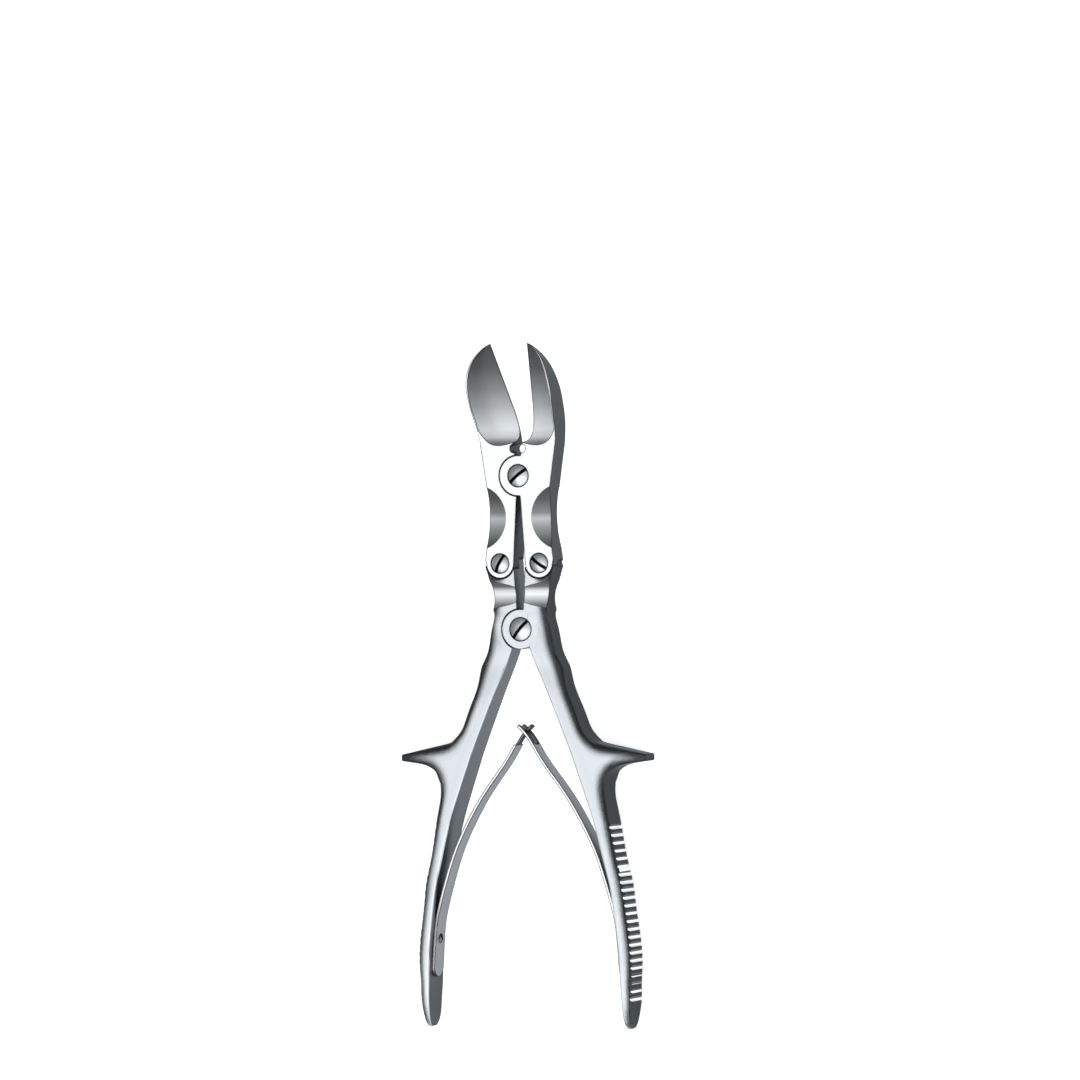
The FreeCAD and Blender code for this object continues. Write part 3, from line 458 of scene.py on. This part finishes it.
def hollow_painted_shade():
    # painted shade and highlight: dark at the hollow's heel wall, brightest just past it, darker towards the tip
    stops = ((72.5, 0.12), (74.0, 0.35), (76.0, 0.95), (79.0, 1.0), (83.0, 0.75), (88.0, 0.48),
             (95.0, 0.26), (103.0, 0.11), (113.0, 0.05))
    return painted_shade_steel("hollow_painted_shade", stops, 0.3, 0.6)


def cove_painted_shade():
    # painted shade and highlight: dark at both ends of the cove, light in its middle
    stops = ((31.0, 0.04), (35.0, 0.13), (40.0, 0.34), (43.6, 0.58), (46.0, 0.24), (51.0, 0.09), (57.0, 0.035))
    return painted_shade_steel("cove_painted_shade", stops, 0.3, 0.5)


def trough_painted_shade():
    # painted shade and highlight: dark at both edges of the trough, white in its middle
    stops = ((7.3, 0.14), (9.5, 0.24), (11.5, 0.60), (13.8, 1.0), (15.2, 0.75), (16.8, 0.14), (18.5, 0.08))
    return painted_shade_steel("trough_painted_shade", stops, 0.3, 0.45)


def groove_painted_highlight_and_shade():
    """Cross grooves of a grip: the wall towards the tips gets a painted highlight, the other painted shade."""
    material = bpy.data.materials.new("groove_painted_highlight_and_shade")
    material.use_nodes = True
    tree = material.node_tree
    shader = tree.nodes["Principled BSDF"]
    geometry = node(tree, "ShaderNodeNewGeometry", (-1000, 0))
    split = node(tree, "ShaderNodeSeparateXYZ", (-800, 0))
    lit = node(tree, "ShaderNodeMapRange", (-600, 0), interpolation_type="SMOOTHSTEP")
    lit.inputs["From Min"].default_value = -0.25
    lit.inputs["From Max"].default_value = 0.1
    # painted highlight: the wall towards the tips takes the jaw face colour; painted shade: the other wall takes
    # the handle band colour
    tone = node(tree, "ShaderNodeMix", (-400, 0), data_type="RGBA")
    tone.inputs["A"].default_value = (*finish().handle_band_shade, 1)
    tone.inputs["B"].default_value = (*finish().jaw_face, 1)
    link = tree.links.new
    link(geometry.outputs["Normal"], split.inputs[0])
    link(split.outputs["Y"], lit.inputs["Value"])
    link(lit.outputs["Result"], tone.inputs["Factor"])
    link(tone.outputs["Result"], shader.inputs["Base Color"])
    shader.inputs["Metallic"].default_value = 0.7
    shader.inputs["Roughness"].default_value = 0.45
    return material


def tip_steel():
    colours = finish()
    # the free end of a spring takes the handles' painted shade colours for its faces and sides, so it comes out
    # darker
    return steel("tip_steel", colours.handle_side_shade, colours.handle_band_shade, colours.handle_band_shade, 0.3, 0.4)


def jaw_steel():
    colours = finish()
    return steel("jaw_steel", colours.jaw_face, colours.jaw_side_shade, colours.jaw_side_shade, 0.24, 0.34)


def handle_steel(side, outward):
    colours = finish()
    return steel(side + "_handle_steel", colours.handle_face, colours.handle_band_shade, colours.handle_side_shade,
                 0.3, 0.42, turn={"Side Start": 0.35, "Side End": 0.02}, outward=outward)


def screw_steel():
    colours = finish()
    # painted shade: the dome's turned edge takes the handles' side colour, and the head's side their band colour
    return steel("screw_steel", colours.screw, colours.handle_side_shade, colours.handle_band_shade, 0.24, 0.3,
                 turn={"Band Start": 0.9, "Band End": 0.5})


def spring_steel():
    colours = finish()
    # painted shade: the springs' sides take the darker spring colour, their front edges the bright face colour
    return steel("spring_steel", colours.jaw_face, colours.spring, colours.spring, 0.3, 0.4)


def slot_shade():
    """Inside of a slot: painted shade, dark with hardly any shine."""
    material = bpy.data.materials.new("slot_shade")
    material.use_nodes = True
    shader = material.node_tree.nodes["Principled BSDF"]
    shader.inputs["Base Color"].default_value = (*finish().slot, 1)
    shader.inputs["Roughness"].default_value = 0.6
    shader.inputs["Metallic"].default_value = 1.0
    return material


# Pieces
def spread_from(start, keep):
    """Faces reached from the start face over edges that keep allows."""
    found, todo = {start}, [start]
    while todo:
        for edge in todo.pop().edges:
            if len(edge.link_faces) == 2 and keep(edge):
                fresh = [face for face in edge.link_faces if face not in found]
                found.update(fresh)
                todo.extend(fresh)
    return found


def paint_hollow(work, x, y, number):
    """Gives the ground hollow under a point its own material with painted shade and highlight, up to its edge.
    """
    tree = BVHTree.FromBMesh(work)
    start = tree.ray_cast(Vector((x, y, 50)) * MM, -UP)[2]
    if start is None:
        raise RuntimeError(f"no surface at {x}, {y} mm")
    work.faces.ensure_lookup_table()
    found = spread_from(work.faces[start], lambda edge: edge.calc_face_angle(0.0) < math.radians(10.0))
    for face in found:
        face.material_index = number
        for edge in face.edges:
            if any(other not in found for other in edge.link_faces):
                edge.smooth = False


def paint_grooves(work, number, outward, start=-148.0, end=-76.0, largest=45.0):
    """Gives the walls of the grip's cross grooves their own material with painted highlight and shade."""
    left = set(work.faces)
    while left:
        found = spread_from(next(iter(left)), lambda edge: edge.smooth)
        left -= found
        area = sum(face.calc_area() for face in found) / MM ** 2
        for face in found:
            inside = start < face.calc_center_median().y / MM < end and face.normal.x * outward > 0
            if inside and (area < largest or abs(face.normal.y) > 0.25):
                face.material_index = number


def paint_tip(work, number, start):
    """Gives the free end of a spring, past start in mm, its own material."""
    for face in work.faces:
        if face.calc_center_median().y > start * MM:
            face.material_index = number


def smooth_copy(name, hollows=(), grooves=0, tip=None, limit=24.0):
    """A merged copy of a frame node, smooth except along its sharp edges, with its hollows marked for their
    painted shade.
    """
    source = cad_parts[name]
    mesh = source.data.copy()
    mesh.name = name + "_finish"
    mesh.transform(source.matrix_world)
    mesh.materials.clear()
    if "custom_normal" in mesh.attributes:
        mesh.attributes.remove(mesh.attributes["custom_normal"])
    work = bmesh.new()
    work.from_mesh(mesh)
    bmesh.ops.remove_doubles(work, verts=work.verts, dist=0.002 * MM)
    bmesh.ops.dissolve_degenerate(work, edges=work.edges, dist=0.002 * MM)
    bmesh.ops.dissolve_limit(
        work, angle_limit=math.radians(0.4), verts=work.verts, edges=work.edges, delimit={"NORMAL"})
    for face in work.faces:
        face.smooth = True
    for edge in work.edges:
        edge.smooth = len(edge.link_faces) == 2 and edge.calc_face_angle(0.0) < math.radians(limit)
    for face in work.faces:
        face.material_index = 0
    if grooves:
        paint_grooves(work, grooves, -1 if name.startswith("left") else 1)
    if tip is not None:
        paint_tip(work, 1, tip)
    for x, y, number in hollows:
        paint_hollow(work, x, y, number)
    work.to_mesh(mesh)
    work.free()
    return mesh


def place(mesh, name, materials, slot, body):
    """The finished piece that stands for a frame node."""
    piece = bpy.data.objects.new(name + "_finish", mesh)
    bpy.context.scene.collection.objects.link(piece)
    for material in materials:
        mesh.materials.append(material)
    weigh = piece.modifiers.new("face_weights", "WEIGHTED_NORMAL")
    weigh.keep_sharp = True
    if body:
        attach(piece, body)
    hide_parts(name)
    return piece


class FORCEPS_OT_jaws(bpy.types.Operator):
    """Finish the two cutting jaws"""
    bl_idname = "forceps.jaws"
    bl_label = "Jaws"

    def execute(self, context):
        materials = (jaw_steel(), hollow_painted_shade(), cove_painted_shade())
        for name, side in zip(JAWS, (-1, 1)):
            # the blade hollow and the tail cove take materials with painted shade and highlight along the
            # forceps
            hollows = ((side * 10, 95, 1), (side * 11, 43.6, 2))
            place(smooth_copy(name, hollows), name, materials, "jaw_steel", name)
        return {"FINISHED"}


class FORCEPS_OT_handles(bpy.types.Operator):
    """Finish the two handles"""
    bl_idname = "forceps.handles"
    bl_label = "Handles"

    def execute(self, context):
        trough, groove = trough_painted_shade(), groove_painted_highlight_and_shade()
        for name, side in zip(HANDLES, (-1, 1)):
            materials = (handle_steel(name.split("_")[0], side), trough, groove)
            # the trough and the grip's grooves take materials with painted shade and highlight
            mesh = smooth_copy(name, ((side * 8, 12, 1),), grooves=2)
            place(mesh, name, materials, "handle_steel", name)
        return {"FINISHED"}


def screw_tree():
    """Geometry nodes of a slotted screw: a domed head with a slot, and its shank below."""
    tree = bpy.data.node_groups.new("Slotted Screw", "GeometryNodeTree")
    tree.interface.new_socket("Geometry", in_out="INPUT", socket_type="NodeSocketGeometry")
    for label in ("Head", "Edge", "Dome", "Shank", "Length", "Slot Width", "Slot Depth", "Slot Turn"):
        tree.interface.new_socket(label, in_out="INPUT", socket_type="NodeSocketFloat")
    tree.interface.new_socket("Segments", in_out="INPUT", socket_type="NodeSocketInt")
    for label in ("Steel", "Shade"):
        tree.interface.new_socket(label, in_out="INPUT", socket_type="NodeSocketMaterial")
    tree.interface.new_socket("Geometry", in_out="OUTPUT", socket_type="NodeSocketGeometry")
    link = tree.links.new
    source = node(tree, "NodeGroupInput", (-1800, 0))

    def maths(operation, place, *values):
        item = node(tree, "ShaderNodeMath", place, operation=operation)
        for socket, value in zip(item.inputs, values):
            if isinstance(value, (int, float)):
                socket.default_value = value
            else:
                link(value, socket)
        return item.outputs[0]

    def vector(place, **values):
        item = node(tree, "ShaderNodeCombineXYZ", place)
        for axis, value in values.items():
            link(value, item.inputs[axis])
        return item.outputs[0]

    given = source.outputs
    radius = maths("DIVIDE", (-1500, 300), given["Head"], 2.0)
    head = node(tree, "GeometryNodeMeshCylinder", (-1300, 300), fill_type="TRIANGLE_FAN")
    link(given["Segments"], head.inputs["Vertices"])
    head.inputs["Fill Segments"].default_value = 8
    link(radius, head.inputs["Radius"])
    link(given["Edge"], head.inputs["Depth"])
    spot = node(tree, "GeometryNodeInputPosition", (-1500, 0))
    split = node(tree, "ShaderNodeSeparateXYZ", (-1300, 0))
    link(spot.outputs[0], split.inputs[0])
    flat = vector((-1300, -150), X=split.outputs["X"], Y=split.outputs["Y"])
    reach = node(tree, "ShaderNodeVectorMath", (-1100, -150), operation="LENGTH")
    link(flat, reach.inputs[0])
    share = maths("DIVIDE", (-900, -150), reach.outputs["Value"], radius)
    fall = maths("MULTIPLY", (-750, -150), share, share)
    rise = maths("MULTIPLY", (-600, -150), maths("SUBTRACT", (-700, -250), 1.0, fall), given["Dome"])
    top = maths("GREATER_THAN", (-900, 0), split.outputs["Z"], 0.0)
    lift = maths("MULTIPLY", (-450, -100), rise, top)
    dome = node(tree, "GeometryNodeSetPosition", (-300, 300))
    link(head.outputs["Mesh"], dome.inputs["Geometry"])
    link(vector((-450, 50), Z=lift), dome.inputs["Offset"])
    # the slot runs across the head and marks its own faces
    cutter = node(tree, "GeometryNodeMeshCube", (-900, -500))
    across = maths("MULTIPLY", (-1300, -600), given["Slot Depth"], 2.0)
    wide = maths("MULTIPLY", (-1300, -700), given["Head"], 1.2)
    link(vector((-1100, -500), X=wide, Y=given["Slot Width"], Z=across), cutter.inputs["Size"])
    crest = maths("ADD", (-900, -700), maths("DIVIDE", (-1100, -700), given["Edge"], 2.0), given["Dome"])
    slot = node(tree, "GeometryNodeTransform", (-700, -500))
    link(cutter.outputs["Mesh"], slot.inputs["Geometry"])
    link(vector((-900, -850), Z=crest), slot.inputs["Translation"])
    link(vector((-900, -1000), Z=given["Slot Turn"]), slot.inputs["Rotation"])
    mark = node(tree, "GeometryNodeStoreNamedAttribute", (-500, -500), data_type="BOOLEAN", domain="FACE")
    mark.inputs["Name"].default_value = "slot"
    mark.inputs["Value"].default_value = True
    link(slot.outputs["Geometry"], mark.inputs["Geometry"])
    cut = node(tree, "GeometryNodeMeshBoolean", (-100, 200), operation="DIFFERENCE", solver="MANIFOLD")
    link(dome.outputs["Geometry"], cut.inputs[0])
    link(mark.outputs["Geometry"], cut.inputs[1])
    # shank from the head's seat to the screw's end
    depth = maths("SUBTRACT", (-900, 700), maths("SUBTRACT", (-1100, 700), given["Length"], given["Edge"]),
                  given["Dome"])
    shank = node(tree, "GeometryNodeMeshCylinder", (-500, 700))
    link(given["Segments"], shank.inputs["Vertices"])
    link(maths("DIVIDE", (-700, 600), given["Shank"], 2.0), shank.inputs["Radius"])
    link(depth, shank.inputs["Depth"])
    below = maths("MULTIPLY", (-700, 800), maths("ADD", (-800, 850), depth, given["Edge"]), -0.5)
    lower = node(tree, "GeometryNodeTransform", (-300, 700))
    link(shank.outputs["Mesh"], lower.inputs["Geometry"])
    link(vector((-500, 900), Z=below), lower.inputs["Translation"])
    join = node(tree, "GeometryNodeJoinGeometry", (100, 300))
    link(cut.outputs["Mesh"], join.inputs[0])
    link(lower.outputs["Geometry"], join.inputs[0])
    real = node(tree, "GeometryNodeRealizeInstances", (300, 300))
    link(join.outputs[0], real.inputs[0])
    coat = node(tree, "GeometryNodeSetMaterial", (500, 300))
    link(real.outputs[0], coat.inputs["Geometry"])
    link(given["Steel"], coat.inputs["Material"])
    # the slot's marked faces take the near black painted shade material
    marked = node(tree, "GeometryNodeInputNamedAttribute", (500, 0), data_type="BOOLEAN")
    marked.inputs["Name"].default_value = "slot"
    shade = node(tree, "GeometryNodeSetMaterial", (700, 300))
    link(coat.outputs[0], shade.inputs["Geometry"])
    link(marked.outputs["Attribute"], shade.inputs["Selection"])
    link(given["Shade"], shade.inputs["Material"])
    sink = node(tree, "NodeGroupOutput", (900, 300))
    link(shade.outputs[0], sink.inputs[0])
    return tree


def screw_axis(name):
    """Lower end, axes and length of a screw node: its flat end looks straight along it."""
    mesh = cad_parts[name].data
    low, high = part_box(name)
    # a pivot screw looks up, a spring screw looks to the middle of the forceps
    wanted = Vector((-low.x, 0, 0)).normalized() if "spring" in name else UP
    axis = Vector()
    for face in mesh.polygons:
        if face.normal.dot(wanted) < -0.9:
            axis -= face.normal * face.area
    axis.normalize()
    turn = axis.to_track_quat("Z", "Y").to_matrix()
    across, along = turn.col[0], turn.col[1]
    points = [vertex.co for vertex in mesh.vertices]

    def span(direction):
        ways = [point.dot(direction) for point in points]
        return min(ways), max(ways)

    (left, right), (back, front), (start, end) = span(across), span(along), span(axis)
    foot = across * (left + right) / 2 + along * (back + front) / 2 + axis * start
    return foot, turn, end - start


SCREWS = {
    "jaw_pivot_screw": ("left_jaw", 8.6, 1.5, 4.6, 38.0),
    "handle_pivot_screw": ("left_handle", 9.0, 1.5, 4.6, 48.0),
    "left_link_screw": ("left_handle", 7.5, 1.5, 3.9, 61.0),
    "right_link_screw": ("right_handle", 7.5, 1.5, 3.9, -36.0),
    "left_spring_screw": ("left_handle", 4.0, 0.8, 2.4, 35.0),
    "right_spring_screw": ("right_handle", 4.0, 0.8, 2.4, 35.0),
}


class FORCEPS_OT_screws(bpy.types.Operator):
    """Turn the slotted screws from one set of geometry nodes"""
    bl_idname = "forceps.screws"
    bl_label = "Screws"

    def execute(self, context):
        tree = screw_tree()
        steel_of, shade_of = screw_steel(), slot_shade()
        names = {item.name: item.identifier for item in tree.interface.items_tree if item.in_out == "INPUT"}
        for name, (body, head, dome, shank, turn) in SCREWS.items():
            foot, axes, length = screw_axis(name)
            edge = 0.8
            # the nodes cut in millimetres, because the cut needs sizes that aren't tiny
            values = {
                "Head": head, "Edge": edge, "Dome": dome, "Shank": shank, "Length": length / MM,
                "Slot Width": sizes().slot_width / MM * (1.0 if head > 5 else 0.75),
                "Slot Depth": sizes().slot_depth / MM * (1.0 if head > 5 else 0.6),
                "Slot Turn": math.radians(turn), "Segments": sizes().screw_segments,
                "Steel": steel_of, "Shade": shade_of}
            blank = bpy.data.objects.new("screw_blank", bpy.data.meshes.new("screw_blank"))
            context.scene.collection.objects.link(blank)
            cut = blank.modifiers.new("screw", "NODES")
            cut.node_group = tree
            for label, value in values.items():
                cut[names[label]] = value
            depsgraph = context.evaluated_depsgraph_get()
            mesh = bpy.data.meshes.new_from_object(blank.evaluated_get(depsgraph), depsgraph=depsgraph)
            if not mesh.polygons:
                raise RuntimeError(f"the nodes made no faces for {name}")
            bpy.data.objects.remove(blank)
            mesh.name = name + "_finish"
            seat = foot + axes.col[2] * (length - (dome + edge / 2) * MM)
            mesh.transform(Matrix.Translation(seat) @ axes.to_4x4() @ Matrix.Scale(MM, 4))
            mesh.set_sharp_from_angle(angle=math.radians(30.0))
            for face in mesh.polygons:
                face.use_smooth = True
            piece = bpy.data.objects.new(name + "_finish", mesh)
            context.scene.collection.objects.link(piece)
            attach(piece, body)
            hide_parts(name)
        return {"FINISHED"}


class FORCEPS_OT_springs(bpy.types.Operator):
    """Finish the leaf springs as still pieces; nothing here bends them between their handle and their free end
    """
    bl_idname = "forceps.springs"
    bl_label = "Leaf springs"

    def execute(self, context):
        material, tip = spring_steel(), tip_steel()
        for side, sign in (("left", -1), ("right", 1)):
            name = side + "_leaf_spring"
            piece = place(smooth_copy(name, tip=-46.0), name, (material, tip), "spring_steel", None)
            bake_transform(piece)
        return {"FINISHED"}


def floor_material():
    """Pale paper that looks white to the camera and in the steel, and still takes a shadow."""
    material = bpy.data.materials.new("floor_paper")
    material.use_nodes = True
    tree = material.node_tree
    shader = tree.nodes["Principled BSDF"]
    shader.inputs["Base Color"].default_value = (*studio().floor, 1)
    shader.inputs["Roughness"].default_value = 0.9
    shader.inputs["Specular IOR Level"].default_value = 0.0
    shader.inputs["Emission Color"].default_value = (1, 1, 1, 1)
    rays = node(tree, "ShaderNodeLightPath", (-800, 0))
    seen = node(tree, "ShaderNodeMath", (-600, 0), operation="ADD")
    shown = node(tree, "ShaderNodeMath", (-400, 0), operation="ADD", use_clamp=True)
    glow = node(tree, "ShaderNodeMath", (-200, 0), operation="MULTIPLY")
    glow.inputs[1].default_value = 0.62
    link = tree.links.new
    link(rays.outputs["Is Camera Ray"], seen.inputs[0])
    link(rays.outputs["Is Glossy Ray"], seen.inputs[1])
    link(seen.outputs[0], shown.inputs[0])
    link(rays.outputs["Is Transmission Ray"], shown.inputs[1])
    link(shown.outputs[0], glow.inputs[0])
    link(glow.outputs[0], shader.inputs["Emission Strength"])
    return material


def add_floor():
    mesh = bpy.data.meshes.new("floor")
    low, high = CAD_BOX
    half = 3.0
    level = low[2]
    corners = [(-half, -half, level), (half, -half, level), (half, half, level), (-half, half, level)]
    mesh.from_pydata(corners, [], [(0, 1, 2, 3)])
    mesh.materials.append(floor_material())
    floor = bpy.data.objects.new("floor", mesh)
    bpy.context.scene.collection.objects.link(floor)


def add_light(name, place, target, width, height, power):
    lamp = bpy.data.lights.new(name, "AREA")
    lamp.shape = "RECTANGLE"
    lamp.size = width
    lamp.size_y = height
    lamp.energy = power
    obj = bpy.data.objects.new(name, lamp)
    obj.location = place
    obj.rotation_euler = (Vector(target) - Vector(place)).to_track_quat("-Z", "Y").to_euler()
    bpy.context.scene.collection.objects.link(obj)
    return obj


def add_camera():
    """Camera above the forceps, leaning to its right."""
    settings = studio()
    tilt = settings.camera_tilt
    # the joint's middle line stands left of the picture's centre
    target = Vector((6.9 * MM, 35.1 * MM, 5 * MM))
    back = Vector((math.sin(tilt), 0, math.cos(tilt)))
    right = Vector((math.cos(tilt), 0, -math.sin(tilt)))
    turned = Matrix((right, Vector((0, 1, 0)), back)).transposed()
    data = bpy.data.cameras.new("camera")
    data.sensor_width = 36.0
    data.lens = data.sensor_width * settings.camera_distance / settings.frame_width
    data.clip_start = 0.01
    camera = bpy.data.objects.new("camera", data)
    roll = Matrix.Rotation(settings.camera_roll, 3, back)
    camera.matrix_world = Matrix.Translation(target + back * settings.camera_distance) @ (roll @ turned).to_4x4()
    bpy.context.scene.collection.objects.link(camera)
    bpy.context.scene.camera = camera


def add_world():
    """Soft surroundings: a wide bright field above and to the left, dim towards the horizon."""
    world = bpy.data.worlds.new("studio")
    bpy.context.scene.world = world
    world.use_nodes = True
    tree = world.node_tree
    background = tree.nodes["Background"]
    place = node(tree, "ShaderNodeTexCoord", (-900, 0))
    match = node(tree, "ShaderNodeVectorMath", (-700, 0), operation="DOT_PRODUCT")
    match.inputs[1].default_value = Vector((0.08, -0.30, 1.0)).normalized()
    ramp = node(tree, "ShaderNodeValToRGB", (-500, 0))
    stops = ((0.0, 0.32), (0.3, 0.32), (0.78, 0.95), (0.85, 1.02))
    for number, (place_at, level) in enumerate(stops):
        stop = ramp.color_ramp.elements[number] if number < 2 else ramp.color_ramp.elements.new(place_at)
        stop.position = place_at
        stop.color = (level * 0.97, level * 0.985, level, 1)
    link = tree.links.new
    link(place.outputs["Generated"], match.inputs[0])
    link(match.outputs["Value"], ramp.inputs[0])
    link(ramp.outputs[0], background.inputs["Color"])
    background.inputs["Strength"].default_value = 1.0


class FORCEPS_OT_stage(bpy.types.Operator):
    """Set the floor, light and camera"""
    bl_idname = "forceps.stage"
    bl_label = "Stage"

    def execute(self, context):
        context.scene.view_settings.view_transform = "Standard"
        add_world()
        add_floor()
        add_light("softbox", (0.2, -0.9, 1.3), (0, -0.02, 0), 2.2, 2.2, 9.0)
        add_camera()
        return {"FINISHED"}


class FORCEPS_PT_panel(bpy.types.Panel):
    """Sidebar panel that lists the pieces"""
    bl_idname = "FORCEPS_PT_panel"
    bl_label = "Bone cutting forceps"
    bl_space_type = "VIEW_3D"
    bl_region_type = "UI"
    bl_category = "Forceps"

    def draw(self, context):
        layout = self.layout
        scene = context.scene
        for group in (scene.forceps_finish, scene.forceps_sizes, scene.forceps_studio):
            for name in group.__annotations__:
                layout.prop(group, name)
        for operator in OPERATORS:
            layout.operator(operator.bl_idname)


OPERATORS = (FORCEPS_OT_jaws, FORCEPS_OT_handles, FORCEPS_OT_screws, FORCEPS_OT_springs, FORCEPS_OT_stage)
GROUPS = (("forceps_finish", ForcepsFinish), ("forceps_sizes", ForcepsSizes), ("forceps_studio", ForcepsStudio))


def register():
    for name, group in GROUPS:
        bpy.utils.register_class(group)
        setattr(bpy.types.Scene, name, PointerProperty(type=group))
    for operator in OPERATORS:
        bpy.utils.register_class(operator)
    bpy.utils.register_class(FORCEPS_PT_panel)


def unregister():
    bpy.utils.unregister_class(FORCEPS_PT_panel)
    for operator in reversed(OPERATORS):
        bpy.utils.unregister_class(operator)
    for name, group in reversed(GROUPS):
        delattr(bpy.types.Scene, name)
        bpy.utils.unregister_class(group)


def main():
    register()
    bpy.ops.forceps.jaws()
    bpy.ops.forceps.handles()
    bpy.ops.forceps.screws()
    bpy.ops.forceps.springs()
    bpy.ops.forceps.stage()


if __name__ == "__main__":
    main()
